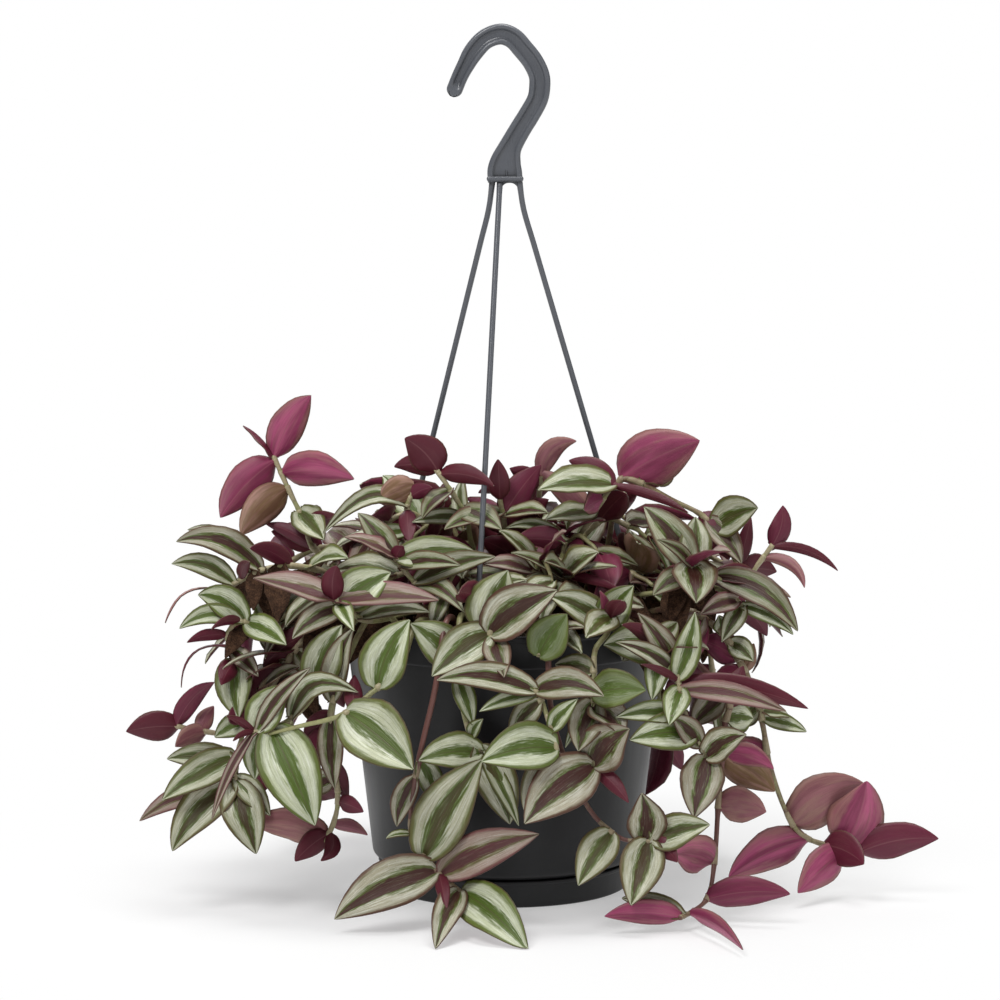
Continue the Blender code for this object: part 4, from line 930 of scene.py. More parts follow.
def rodShape(name):
    azimuth, startX, inwards = hanger["rods"][name]
    width, height = hanger["clip"]
    footRadius, footHeight = hanger["footRadius"], hanger["footHeight"]
    top = Vector((startX, 0, hanger["baseHeight"] + hanger["overlap"]))
    knee = aroundPot(azimuth, footRadius, footHeight + height + hanger["footUp"])
    foot = aroundPot(azimuth, footRadius + hanger["footOut"], footHeight + hanger["footUp"])
    bend = top + (knee - top) * (hanger["rodBend"] / (top.z - knee.z))
    bend.x -= math.copysign(inwards, bend.x)
    nearBend = bend + (knee - bend) * hanger["bendShare"]
    path = smoothCurve([top, bend, nearBend], 4)[:-1]
    path += [nearBend + (knee - nearBend) * (step / 10) for step in range(10)]
    path += [knee - (knee - bend).normalized() * 0.002, knee + (foot - knee) * 0.25, foot]
    flare = hanger["rodFlare"]
    radii = [hanger["rod"] * (1 + flare - flare * min(1, index / 2)) for index in range(len(path))]
    edit = bmesh.new()
    addTube(edit, path, radii, hanger["rodSides"])
    reach = wallRadius(footHeight) - pot["wall"] - pot["gap"] - footRadius
    place = aroundPot(azimuth, footRadius + reach / 2 - pot["gap"], footHeight + height / 2)
    clip = roundedBlock((width, reach, height), place, math.radians(azimuth), hanger["clipRounding"])
    return joinShapes([edit, clip])


def archWebShape():
    # the small arched web between the front and the right rods, under the collar
    left = hanger["rods"]["front"][1]
    right = hanger["rods"]["right"][1]
    middle = (left + right) / 2
    half = (right - left) / 2 + hanger["webOverhang"]
    thickness = hanger["webThickness"]
    least, more, power = hanger["webDrop"]
    edit = bmesh.new()
    grid = bmesh.ops.create_grid(edit, x_segments=14, y_segments=1, size=1)["verts"]
    for vert in grid:
        across, lower = vert.co.x, vert.co.y < 0
        rise = -(least + more * abs(across) ** power) if lower else hanger["overlap"]
        vert.co = (middle + half * across, -thickness / 2, hanger["baseHeight"] + rise)
    made = bmesh.ops.extrude_face_region(edit, geom=edit.faces[:])["geom"]
    bmesh.ops.translate(edit, verts=[item for item in made if isinstance(item, bmesh.types.BMVert)],
                        vec=(0, thickness, 0))
    bmesh.ops.recalc_face_normals(edit, faces=edit.faces)
    roundEdges(edit, hanger["smallRounding"], segments=2)
    return edit


def makeHanger():
    size = hanger["collar"]
    base = hanger["baseHeight"]
    tickX, tickUp = hanger["tickPlace"]
    collar = roundedBlock(size, (hanger["collarShift"], 0, base + size[2] / 2), 0, hanger["collarRounding"])
    tick = roundedBlock(hanger["tick"], (tickX, 0, base + tickUp), 0, hanger["smallRounding"])
    pieces = [newPiece("hangerHook", joinShapes([hookShape(), collar, tick, archWebShape()]),
                       [finishes["hanger"]], ["hanger_hook"])]
    pieces += [newPiece(f"hangerRod_{name}", rodShape(name), [finishes["hanger"]],
                        [f"hanger_leg_{name}"], guard=True) for name in hanger["rods"]]
    for piece in pieces:
        even = piece.modifiers.new("evenShading", "WEIGHTED_NORMAL")
        even.weight = 50


makeHanger()
print("the hanger is on")


# soil

soilBed = {
    "topHeight": 0.1240,
    "dome": 0.0030,
    "lumps": 0.0016,
    "lumpScale": 90,
    "edgeFade": 0.004,
    "gap": 0.0007,
    "crumbs": 240,
    "crumbSize": (0.0011, 0.0030),
    "crumbWidth": (0.7, 1.3),
    "crumbHeight": (0.5, 0.8),
}


def makeSoil():
    top = soilBed["topHeight"]
    edge = wallRadius(top) - pot["wall"] - soilBed["gap"]
    corner = pot["cornerHeight"] + 0.0045
    foot = pot["footRadius"] - pot["wall"] - soilBed["gap"]
    floor = pot["saucerFloor"] + pot["gap"] + pot["wall"] + soilBed["gap"]
    profile = [Vector((edge * share, top + soilBed["dome"] * (1 - share * share)))
               for share in (step / 28 for step in range(29))]
    profile += [Vector((wallRadius(corner) - pot["wall"] - 0.0012, corner)),
                Vector((foot, pot["saucerHeight"] + pot["gap"] + pot["wall"] + 0.0014)),
                Vector((foot, floor)), Vector((0, floor))]
    edit = turnedShape(profile)
    for vert in edit.verts:
        radius = vert.co.to_2d().length
        if vert.co.z > top - 0.0002 and radius < edge - 0.001:
            bump = noise.fractal(vert.co * soilBed["lumpScale"], 0.7, 2.1, 4) * soilBed["lumps"]
            vert.co.z += bump * min(1, (edge - radius) / soilBed["edgeFade"])
    newPiece("pottingSoil", edit, [finishes["soil"]], ["potting_soil"], guard=True)

    dice = random.Random(seeds["soil"])
    bits = bmesh.new()
    for _ in range(soilBed["crumbs"]):
        radius = (edge - soilBed["edgeFade"]) * math.sqrt(dice.random())
        size = dice.uniform(*soilBed["crumbSize"])
        height = top + soilBed["dome"] * (1 - (radius / edge) ** 2) + 0.25 * size
        place = aroundPot(dice.uniform(0, 360), radius, height)
        wide, deep = dice.uniform(*soilBed["crumbWidth"]), dice.uniform(*soilBed["crumbWidth"])
        shape = Matrix.Diagonal((wide, deep, dice.uniform(*soilBed["crumbHeight"]), 1))
        turn = Matrix.Rotation(dice.uniform(0, 6.28), 4, "Z")
        bmesh.ops.create_icosphere(bits, subdivisions=1, radius=size / 2,
                                   matrix=Matrix.Translation(place) @ turn @ shape)
    newPiece("soilCrumbs", bits, [finishes["soil"]], smooth=False)


makeSoil()
print("the soil is in")


# cuttings: points are (x, y, z) in centimetres; a leaf is its base on the stem, its tip, its width, the way
# its upper face looks, its tone and, where it has one, the bow of its middle line

cuttings = {
    "left_top": {
        "stem": [(-4.4, -0.4, 11.9), (-5.0, -0.4, 13.6), (-7.8, -0.8, 15.9), (-9.9, -0.6, 17.6),
                 (-10.4, 0.0, 18.9), (-11.2, 0.3, 20.5), (-12.0, 0.8, 22.2)],
        "leaves": [
            ((-12.0, 0.8, 22.1), (-9.9, -1.0, 25.7), 1.8, "under", "pink"),
            ((-12.1, 0.8, 22.4), (-13.6, 1.6, 23.7), 1, "edge", "burgundy"),
            ((-12.0, 0.8, 21.9), (-14.7, -1.2, 19.2), 2, "under", "magenta"),
            ((-11.5, 0.4, 21.4), (-7.6, -2.0, 21.4), 1.9, "under", "pink"),
            ((-11.2, 0.3, 20.6), (-13.6, -1.2, 18.3), 1.8, "under", "tan"),
            ((-9.9, -0.6, 17.6), (-12.3, 0.4, 18.7), 0.8, "under", "burgundy"),
            ((-10.4, -0.2, 18.5), (-8.2, -2.4, 19.4), 1, "under", "burgundy"),
            ((-10.2, 0.0, 19.6), (-9.2, -2.6, 18.2), 1.7, "front", "olive"),
        ],
    },
    "left_upper": {
        "stem": [(-4.8, -2.4, 11.9), (-5.4, -2.6, 14.2), (-8.2, -3.4, 16.3), (-10.4, -4.0, 17.1),
                 (-12.3, -4.6, 17.0), (-14.3, -5.0, 16.0)],
        "leaves": [
            ((-12.3, -4.6, 16.9), (-16.5, -6.0, 18.6), 1.5, "front", "maroon", (0, 0, 0.5)),
            ((-12.9, -4.4, 17.2), (-16.2, -3.4, 18.9), 1.0, "front", "olive", (0, 0, 0.4)),
            ((-13.8, -4.8, 16.5), (-16.8, -5.4, 17.4), 1.2, "front", "olive", (0, 0, 0.3)),
            ((-13.4, -4.8, 16.6), (-12.7, -7.0, 17.9), 0.6, "under", "burgundy"),
            ((-14.3, -5.0, 16.0), (-16.9, -6.2, 14.5), 0.5, "edge", "dusty", (-0.4, 0, 0.6)),
            ((-10.9, -4.0, 17.1), (-12.8, -6.6, 18.4), 1, "under", "burgundy"),
            ((-9.9, -3.8, 17.0), (-8.0, -6.4, 18.0), 1.6, "up", "green"),
        ],
    },
    "left_middle": {
        "stem": [(-5.4, -1.4, 11.9), (-6.2, -1.7, 14.2), (-8.4, -2.7, 15.3), (-10.5, -3.6, 14.8),
                 (-12.3, -4.8, 14.2), (-13.4, -5.4, 14.5), (-14.0, -5.6, 13.8), (-13.6, -5.6, 12.5)],
        "leaves": [
            ((-13.1, -5.2, 14.7), (-15.4, -6.0, 15.9), 1.7, "front", "green", (0, 0, 0.3)),
            ((-13.4, -5.4, 14.6), (-16.3, -6.8, 14.4), 1.1, "front", "green", (0, 0, 0.3)),
            ((-12.9, -5.2, 14.6), (-10.9, -8.0, 13.7), 1.5, "front", "green"),
            ((-14.0, -5.6, 13.8), (-16.0, -7.0, 13.7), 0.6, "under", "burgundy"),
            ((-13.9, -5.6, 13.3), (-16.2, -6.4, 11.3), 0.4, "edge", "burgundy", (-0.5, 0.0, 0.5)),
            ((-13.6, -5.6, 12.6), (-13.4, -6.8, 9.8), 1.9, "front", "green"),
            ((-11.6, -4.2, 14.5), (-12.6, -4.6, 16.2), 1.5, "front", "green"),
            ((-13.6, -5.6, 12.5), (-14.2, -7.4, 11.6), 1, "under", "burgundy"),
            ((-13.3, -5.4, 14.5), (-14.6, -8.0, 14.5), 0.5, "under", "burgundy"),
            ((-13.7, -5.6, 13.1), (-12.4, -6.6, 11.9), 1, "up", "maroon"),
            ((-10.5, -3.6, 14.8), (-12.2, -6.4, 12.9), 1.2, "up", "maroon"),
            ((-9.6, -3.2, 15.0), (-11.4, -3.6, 16.3), 1.6, "front", "olive"),
            ((-11.0, -4.0, 14.6), (-9.6, -4.4, 16.0), 1.4, "front", "maroon"),
        ],
    },
    "left_sprig": {
        "stem": [(-5.9, -2.8, 11.9), (-6.3, -3.0, 14.2), (-8.2, -4.2, 15.2), (-10.4, -5.2, 13.3),
                 (-12.3, -4.8, 10.4), (-13.7, -4.4, 8.7), (-15.3, -4.4, 8.7), (-16.7, -4.5, 9.0)],
        "leaves": [
            ((-16.7, -4.5, 9.0), (-14.7, -5.0, 11.4), 1, "under", "burgundy"),
            ((-16.6, -4.5, 8.9), (-19.2, -5.0, 8.8), 1.6, "under", "burgundy"),
            ((-15.2, -4.4, 8.7), (-16.7, -5.4, 8.1), 1.1, "under", "dusty"),
            ((-15.5, -4.4, 8.7), (-14.9, -3.6, 9.8), 0.9, "under", "dusty"),
            ((-10.9, -5.4, 13.0), (-14.2, -7.4, 12.7), 0.9, "up", "maroon"),
            ((-11.4, -5.2, 12.2), (-13.1, -6.6, 11.8), 1.2, "up", "maroon"),
            ((-11.4, -5.2, 12.2), (-12.9, -5.0, 10.6), 1.3, "under", "burgundy"),
            ((-11.9, -5.0, 11.0), (-10.2, -5.4, 11.8), 1.2, "front", "maroon"),
            ((-10.6, -5.2, 13.0), (-9.4, -5.0, 11.2), 1.3, "front", "olive"),
            ((-12.6, -4.8, 10.2), (-13.9, -5.6, 11.5), 1.1, "front", "maroon"),
            ((-9.6, -4.8, 13.9), (-11.4, -4.4, 13.0), 1.2, "front", "maroon"),
            ((-9.8, -5.0, 13.7), (-12.2, -5.6, 12.2), 1.3, "under", "burgundy"),
            ((-11.0, -5.1, 12.6), (-12.6, -4.2, 13.8), 1.2, "front", "olive"),
            ((-11.8, -5.0, 11.2), (-10.4, -4.6, 9.6), 1.3, "under", "burgundy"),
        ],
    },
    "left_front": {
        "stem": [(-4.2, -4.4, 11.9), (-4.8, -4.9, 14.2), (-6.6, -6.2, 15.2), (-8.4, -7.2, 13.8),
                 (-9.7, -8.2, 11.0), (-11.4, -8.8, 9.7), (-12.5, -9.0, 9.5)],
        "leaves": [
            ((-11.6, -8.8, 9.6), (-9.4, -10.8, 5.1), 3, "front", "green"),
            ((-12.3, -9.0, 9.6), (-9.6, -10.0, 12.9), 0.9, "front", "maroon"),
            ((-12.4, -9.0, 9.5), (-10.8, -9.2, 11.9), 1.9, "front", "green"),
            ((-12.5, -9.0, 9.5), (-14.5, -10.6, 5.4), 0.5, "front", "plum"),
            ((-12.5, -9.0, 9.5), (-13.8, -10.2, 10.6), 0.4, "under", "burgundy"),
            ((-10.5, -8.6, 9.9), (-7.3, -9.8, 11.6), 1.3, "front", "tan", (-0.4, 0.0, 0.9)),
            ((-12.5, -9.0, 9.5), (-13.5, -10.4, 9.3), 0.3, "under", "burgundy"),
            ((-9.3, -8.1, 11.5), (-8.1, -9.2, 14.9), 2.1, "front", "green"),
            ((-12.2, -8.8, 9.6), (-12.5, -8.2, 7.0), 1.3, "front", "green"),
        ],
    },
    "left_low": {
        "stem": [(-6.6, -1.6, 11.9), (-7.2, -1.8, 14.7), (-9.6, -3.4, 14.4), (-12.3, -5.4, 11.0),
                 (-13.4, -6.2, 8.3), (-13.6, -6.6, 6.4)],
        "leaves": [
            ((-13.6, -6.6, 6.4), (-18.6, -5.0, 4.2), 1.3, "front", "plum"),
            ((-13.6, -6.6, 6.5), (-12.4, -8.6, 3.3), 2.2, "front", "olive"),
            ((-13.5, -6.2, 7.2), (-17.0, -7.0, 7.8), 1.5, "front", "olive"),
            ((-13.5, -6.6, 6.5), (-16.7, -8.4, 3.4), 2.1, "front", "olive"),
            ((-13.4, -6.5, 6.7), (-11.8, -7.6, 5.0), 1.3, "front", "olive"),
            ((-12.3, -5.4, 11.0), (-10.3, -6.4, 12.3), 1.2, "up", "maroon"),
            ((-12.9, -5.8, 9.9), (-14.0, -7.2, 9.7), 1.1, "under", "burgundy"),
            ((-13.5, -6.4, 7.8), (-17.1, -8.6, 6.0), 1.8, "front", "olive"),
            ((-10.4, -4.0, 13.4), (-8.8, -4.2, 11.6), 1.5, "front", "maroon"),
            ((-11.2, -4.6, 12.4), (-9.8, -4.8, 10.6), 1.4, "under", "burgundy"),
            ((-13.0, -5.9, 9.4), (-14.6, -6.6, 8.8), 1.2, "front", "green"),
        ],
    },
    "left_under": {
        "stem": [(-5.0, -5.4, 11.9), (-5.3, -5.8, 14.2), (-6.8, -7.2, 15.0), (-8.6, -8.0, 10.9),
                 (-8.6, -7.8, 7.9), (-8.4, -7.6, 6.0), (-8.6, -7.6, 4.7), (-9.1, -7.8, 3.7)],
        "leaves": [
            ((-9.1, -7.8, 4.0), (-12.9, -6.8, 4.5), 1.8, "under", "dusty"),
            ((-9.0, -7.8, 4.2), (-10.5, -8.6, 2.9), 1.2, "under", "burgundy"),
            ((-8.6, -7.6, 5.7), (-7.1, -8.6, 5.4), 0.9, "under", "burgundy"),
            ((-8.9, -8.0, 10.1), (-8.5, -8.8, 6.6), 1.3, "front", "maroon"),
            ((-8.8, -7.7, 4.2), (-9.2, -9.2, 3.0), 0.8, "under", "burgundy", (0.4, 0.0, -0.1)),
            ((-8.7, -7.6, 4.6), (-7.0, -6.6, 3.9), 0.7, "under", "dusty"),
            ((-8.4, -7.7, 6.3), (-9.9, -6.0, 5.5), 1.1, "under", "burgundy"),
            ((-8.6, -8.0, 10.9), (-7.5, -9.4, 14.8), 1.4, "front", "maroon"),
            ((-8.6, -7.8, 7.8), (-7.9, -7.0, 5.8), 1, "under", "burgundy"),
            ((-8.6, -7.9, 9.4), (-9.9, -7.6, 7.4), 1.3, "under", "burgundy"),
            ((-8.5, -7.7, 7.0), (-10.2, -7.2, 6.0), 1.3, "front", "maroon"),
            ((-8.7, -8.0, 10.2), (-10.0, -7.4, 8.6), 1.2, "under", "burgundy"),
        ],
    },
    "front_left": {
        "stem": [(-3.0, -5.2, 11.9), (-3.4, -6.2, 14.2), (-4.4, -8.4, 14.9), (-5.2, -9.4, 12.9),
                 (-6.5, -9.6, 11.7), (-8.0, -10.2, 10.6), (-10.2, -9.6, 9.9), (-11.9, -9.1, 9.4)],
        "leaves": [
            ((-7.9, -10.2, 10.7), (-4.5, -12.6, 8.3), 3.1, "front", "green"),
            ((-6.3, -9.5, 11.8), (-4.8, -10.2, 15.3), 2.4, "front", "green"),
            ((-7.6, -9.9, 10.9), (-7.5, -8.4, 12.1), 0.9, "under", "burgundy"),
        ],
    },
    "left_canopy": {
        "stem": [(-3.4, -2.8, 11.9), (-3.9, -3.6, 14.6), (-6.7, -7.4, 14.8), (-7.7, -8.2, 15.4),
                 (-8.5, -8.6, 16.0)],
        "leaves": [
            ((-8.5, -8.6, 16.0), (-12.5, -8.4, 17.0), 1.9, "up", "plum"),
            ((-8.3, -8.6, 16.0), (-3.3, -9.4, 16.2), 1.7, "up", "plum"),
            ((-8.6, -8.6, 16.1), (-8.3, -9.4, 18.0), 1.1, "under", "burgundy"),
            ((-8.0, -8.4, 15.7), (-10.6, -9.4, 14.3), 1.3, "front", "maroon"),
            ((-8.2, -8.5, 15.9), (-7.5, -11.0, 15.0), 1, "front", "green"),
            ((-7.1, -8.0, 15.1), (-3.8, -9.0, 15.7), 1.3, "up", "olive"),
            ((-8.0, -8.4, 16.0), (-5.7, -8.4, 17.4), 2.2, "front", "green"),
        ],
    },
    "middle_canopy": {
        "stem": [(-2.2, -2.0, 11.9), (-2.6, -3.0, 15.0), (-3.3, -6.0, 15.7), (-4.7, -6.6, 16.8),
                 (-5.5, -6.8, 17.9)],
        "leaves": [
            ((-5.4, -6.8, 17.9), (-1.6, -7.6, 18.4), 1.6, "front", "green"),
            ((-5.3, -6.8, 17.5), (-2.2, -8.8, 17.8), 1.0, "front", "shade"),
            ((-5.1, -6.4, 18.4), (-7.4, -6.0, 20.1), 1.3, "up", "shade"),
            ((-5.4, -6.8, 18.0), (-5.1, -7.2, 18.6), 0.7, "under", "burgundy"),
            ((-5.5, -6.8, 17.9), (-8.0, -7.4, 19.1), 1.2, "up", "plum"),
            ((-4.4, -6.6, 16.8), (-0.5, -8.6, 18.2), 1.3, "front", "olive"),
            ((-4.4, -6.4, 16.4), (-2.1, -9.2, 15.6), 1.1, "front", "shade", (0, 0, 0.4)),
            ((-3.2, -6.0, 15.6), (-3.0, -8.8, 14.6), 0.7, "front", "green"),
        ],
    },
    "top_left": {
        "stem": [(-1.6, -0.8, 11.9), (-1.2, -1.6, 15.6), (-1.8, -2.8, 18.3), (-2.0, -3.4, 19.5),
                 (-2.7, -3.8, 20.8), (-3.5, -4.0, 22.0)],
        "leaves": [
            ((-3.4, -4.0, 21.9), (-5.1, -4.6, 23.7), 1.9, "under", "burgundy"),
            ((-3.5, -4.0, 22.0), (-5.6, -3.0, 22.1), 1.1, "under", "burgundy"),
            ((-3.3, -4.0, 21.8), (-0.5, -5.2, 21.4), 1.0, "under", "burgundy"),
            ((-2.8, -3.8, 20.9), (-4.3, -5.2, 19.8), 1.3, "up", "shade"),
            ((-2.0, -3.4, 19.4), (-4.7, -5.0, 19.5), 0.9, "front", "tan"),
            ((-2.2, -3.4, 19.9), (-0.3, -6.0, 19.4), 1.6, "up", "shade"),
        ],
    },
    "top_middle": {
        "stem": [(0.2, 0.4, 11.9), (0.2, -0.8, 15.6), (0.0, -2.6, 18.3), (-0.1, -3.0, 19.3),
                 (-0.3, -3.2, 20.4)],
        "leaves": [
            ((-0.3, -3.2, 20.4), (-0.4, -3.6, 22.5), 1.1, "under", "burgundy"),
            ((-0.2, -3.0, 19.7), (-3.1, -5.6, 19.2), 1.6, "up", "shade"),
            ((-0.1, -3.0, 19.5), (2.1, -5.0, 20.0), 1.5, "up", "shade"),
            ((-0.1, -3.0, 19.6), (1.7, -2.0, 22.0), 1.6, "under", "burgundy"),
            ((-0.0, -2.8, 18.8), (-1.8, -1.4, 20.2), 1.3, "under", "burgundy"),
        ],
    },
    "top_right": {
        "stem": [(2.8, -1.6, 11.9), (2.6, -1.8, 16.2), (4.3, -2.4, 19.3), (5.4, -3.0, 21.1)],
        "leaves": [
            ((5.4, -3.0, 21.1), (1.6, -5.6, 21.1), 2.2, "up", "olive"),
            ((5.5, -3.0, 21.2), (3.2, -2.4, 22.3), 1.3, "under", "burgundy"),
            ((5.5, -3.0, 21.1), (9.3, -4.4, 19.9), 0.5, "under", "burgundy"),
            ((4.5, -2.6, 19.6), (2.0, -4.6, 19.5), 1.5, "up", "olive"),
            ((5.0, -2.8, 20.3), (3.8, -5.0, 20.1), 1.3, "under", "pink"),
            ((4.3, -2.4, 19.3), (1.5, -1.6, 21.7), 1.3, "under", "dusty"),
        ],
    },
    "top_centre": {
        "stem": [(1.2, -2.6, 11.9), (1.4, -3.4, 15.0), (2.7, -5.4, 16.1), (3.0, -6.0, 16.9)],
        "leaves": [
            ((3.0, -6.0, 16.9), (4.5, -6.8, 18.3), 2, "up", "olive"),
            ((3.2, -6.0, 16.9), (5.5, -7.8, 17.5), 1.1, "up", "shade"),
            ((3.0, -6.0, 16.9), (2.0, -8.0, 18.0), 1.6, "up", "shade"),
            ((2.9, -5.8, 16.7), (0.3, -7.4, 18.3), 1.2, "up", "shade"),
            ((3.0, -6.0, 16.9), (5.7, -7.8, 16.4), 0.5, "under", "burgundy"),
            ((2.7, -5.6, 16.4), (0.8, -4.4, 18.2), 1.5, "under", "burgundy"),
            ((2.8, -5.6, 16.5), (0.4, -7.8, 16.4), 1.4, "up", "shade"),
        ],
    },
    "front_middle": {
        "stem": [(-1.1, -4.6, 11.9), (-1.3, -6.4, 14.8), (-0.9, -8.7, 14.8), (-0.3, -9.6, 13.2),
                 (1.4, -10.4, 11.9), (2.3, -10.8, 9.7), (2.6, -10.8, 8.2)],
        "leaves": [
            ((-0.9, -8.8, 14.3), (-3.6, -11.2, 12.8), 2.2, "front", "olive"),
            ((-0.9, -8.8, 14.4), (0.1, -9.2, 17.6), 2.8, "front", "green"),
            ((-0.7, -9.0, 14.4), (2.4, -10.8, 16.8), 2.5, "front", "maroon"),
            ((-0.6, -9.0, 14.1), (-0.1, -11.2, 12.6), 1.4, "front", "maroon"),
            ((1.3, -10.3, 11.6), (-3.4, -12.0, 12.6), 1.5, "front", "maroon", (0, 0, 0.3)),
            ((1.5, -10.4, 11.8), (4.7, -12.2, 11.9), 1.7, "front", "maroon", (0, 0, 0.3)),
            ((2.4, -10.8, 9.0), (-1.2, -12.6, 8.7), 2.5, "front", "green"),
            ((2.5, -10.7, 8.7), (0.9, -11.0, 6.0), 1.6, "front", "olive"),
            ((2.1, -10.8, 9.9), (3.4, -12.0, 11.6), 1, "front", "green"),
            ((1.4, -10.4, 11.6), (-1.3, -11.2, 10.9), 0.9, "front", "green"),
            ((1.6, -10.5, 11.3), (0.2, -10.2, 9.4), 1.3, "front", "olive"),
        ],
    },
    "front_green": {
        "stem": [(-2.0, -4.2, 11.9), (-2.1, -5.4, 14.4), (-2.3, -8.2, 15.0), (-2.4, -9.2, 12.4),
                 (-1.9, -9.6, 9.8), (-1.2, -9.8, 8.6)],
        "leaves": [
            ((-2.9, -8.5, 12.8), (-4.7, -9.6, 15.0), 2.1, "front", "green"),
            ((-2.4, -9.2, 12.3), (-1.6, -10.4, 10.1), 1.1, "front", "green"),
            ((-1.8, -9.6, 9.3), (-1.2, -10.8, 10.4), 0.7, "front", "green"),
            ((-1.5, -9.6, 8.9), (0.3, -9.8, 4.9), 2.1, "front", "olive"),
            ((-1.2, -9.8, 8.5), (-4.3, -10.8, 8.4), 1.9, "front", "green"),
            ((-1.2, -9.8, 8.6), (0.6, -9.9, 5.0), 0.9, "front", "green"),
        ],
    },
    "front_right": {
        "stem": [(2.4, -4.4, 11.9), (2.9, -5.9, 15.0), (5.0, -8.2, 14.6), (4.4, -9.0, 13.6),
                 (4.3, -9.8, 12.2), (4.3, -10.4, 9.9), (4.3, -10.6, 8.1)],
        "leaves": [
            ((4.9, -8.2, 14.6), (2.1, -9.4, 16.4), 1.7, "front", "olive"),
            ((5.0, -8.2, 14.6), (6.3, -8.8, 16.8), 1.8, "front", "green"),
            ((4.9, -8.2, 14.6), (4.6, -9.6, 16.7), 0.5, "under", "pink"),
            ((4.3, -9.8, 11.5), (6.8, -11.2, 12.0), 2.0, "front", "leafGreen"),
            ((4.4, -10.0, 11.2), (3.5, -11.4, 9.0), 1.9, "front", "maroon"),
            ((4.3, -10.6, 8.1), (0.9, -12.6, 5.6), 2.8, "front", "maroon"),
            ((4.3, -10.6, 8.0), (6.0, -12.0, 10.2), 2.5, "front", "maroon"),
            ((4.3, -10.6, 8.1), (6.0, -11.8, 6.5), 0.8, "under", "burgundy"),
            ((4.3, -10.0, 10.8), (5.8, -11.4, 9.8), 2.1, "up", "maroon"),
            ((4.3, -9.8, 11.4), (2.9, -10.6, 9.0), 0.6, "front", "green"),
            ((4.3, -9.6, 12.6), (2.4, -9.0, 12.9), 1.4, "front", "olive"),
        ],
    },
    "front_low": {
        "stem": [(-2.2, -6.0, 11.9), (-2.5, -6.9, 14.6), (-3.0, -9.0, 14.9), (-3.5, -10.0, 11.8),
                 (-4.3, -10.4, 8.3), (-4.7, -10.2, 4.8), (-3.7, -10.4, 3.1), (-2.2, -10.9, 1.8)],
        "leaves": [
            ((-3.9, -10.4, 3.6), (-1.2, -11.6, 8.6), 2.8, "front", "olive"),
            ((-3.4, -10.5, 2.8), (-8.4, -12.4, 0.8), 2.5, "front", "maroon"),
            ((-3.0, -10.6, 2.9), (1.5, -12.4, 5.0), 2.1, "front", "plum"),
            ((-2.2, -10.9, 1.8), (0.9, -15.8, 0.3), 2.4, "front", "green"),
            ((-2.4, -10.9, 1.8), (-3.4, -15.6, 0.3), 1.5, "front", "maroon"),
            ((-3.3, -10.6, 2.7), (-2.9, -13.0, 1.4), 0.7, "under", "burgundy"),
            ((-4.6, -10.2, 4.6), (-5.9, -11.0, 4.6), 0.6, "up", "green"),
            ((-4.5, -10.1, 7.6), (-5.4, -9.8, 4.9), 1.2, "front", "maroon"),
            ((-4.3, -10.2, 8.4), (-3.4, -9.8, 6.0), 1.3, "front", "green"),
        ],
    },
    "right_front_low": {
        "stem": [(0.8, -6.1, 11.9), (1.4, -7.2, 14.9), (2.0, -9.2, 14.4), (2.3, -10.0, 10.3),
                 (3.8, -10.4, 6.4), (5.5, -10.8, 4.6), (7.2, -11.0, 4.4)],
        "leaves": [
            ((6.8, -10.9, 4.4), (6.6, -12.4, 6.9), 2, "front", "maroon"),
            ((7.0, -11.0, 4.4), (6.1, -12.8, 1.6), 2.2, "front", "olive"),
            ((7.2, -11.0, 4.4), (9.9, -12.0, 5.5), 1.8, "front", "olive"),
            ((5.2, -10.7, 4.8), (3.5, -12.6, 2.6), 1.9, "front", "olive"),
            ((3.4, -10.2, 7.1), (1.7, -12.0, 6.7), 1.3, "front", "maroon"),
            ((7.2, -11.0, 4.4), (8.5, -12.0, 3.6), 1, "under", "burgundy"),
        ],
    },
    "right_front": {
        "stem": [(4.4, -4.2, 11.9), (5.2, -5.2, 14.8), (8.0, -8.0, 13.4), (8.5, -8.8, 12.1),
                 (8.8, -9.2, 10.5), (9.9, -9.4, 8.3)],
        "leaves": [
            ((8.4, -8.7, 12.3), (5.4, -10.2, 14.2), 1.0, "front", "maroon"),
            ((8.4, -8.7, 12.5), (6.5, -9.4, 15.5), 1.3, "front", "maroon"),
            ((8.7, -8.8, 12.2), (9.3, -9.6, 15.6), 1.4, "front", "green"),
            ((8.6, -8.9, 11.9), (14.9, -9.8, 10.8), 1.2, "under", "burgundy"),
            ((8.7, -8.9, 11.6), (13.7, -11.0, 10.9), 1.1, "front", "plum"),
            ((8.6, -8.9, 11.6), (8.0, -11.0, 10.3), 1.4, "front", "green"),
            ((8.9, -9.2, 10.4), (5.4, -11.0, 10.6), 1.2, "front", "green"),
            ((9.6, -9.4, 8.9), (8.1, -10.6, 10.6), 1.3, "front", "maroon"),
            ((9.9, -9.4, 8.3), (9.2, -11.4, 5.7), 2.2, "front", "maroon"),
            ((9.9, -9.4, 8.3), (11.7, -10.8, 9.7), 1.7, "front", "maroon"),
            ((8.5, -8.8, 12.0), (6.6, -10.8, 13.2), 0.4, "under", "burgundy"),
            ((9.3, -9.3, 9.4), (6.1, -11.2, 9.5), 2.0, "front", "green"),
        ],
    },
    "right_middle": {
        "stem": [(3.7, -5.4, 11.9), (4.0, -5.9, 14.2), (5.6, -7.6, 14.9), (7.0, -8.2, 14.0),
                 (7.8, -8.2, 13.2)],
        "leaves": [
            ((7.4, -8.2, 13.5), (4.8, -9.4, 13.9), 2.1, "front", "green"),
            ((7.8, -8.2, 13.6), (7.2, -9.6, 11.2), 1.3, "front", "green"),
            ((7.8, -8.2, 13.2), (10.0, -9.4, 13.9), 1.5, "up", "shade"),
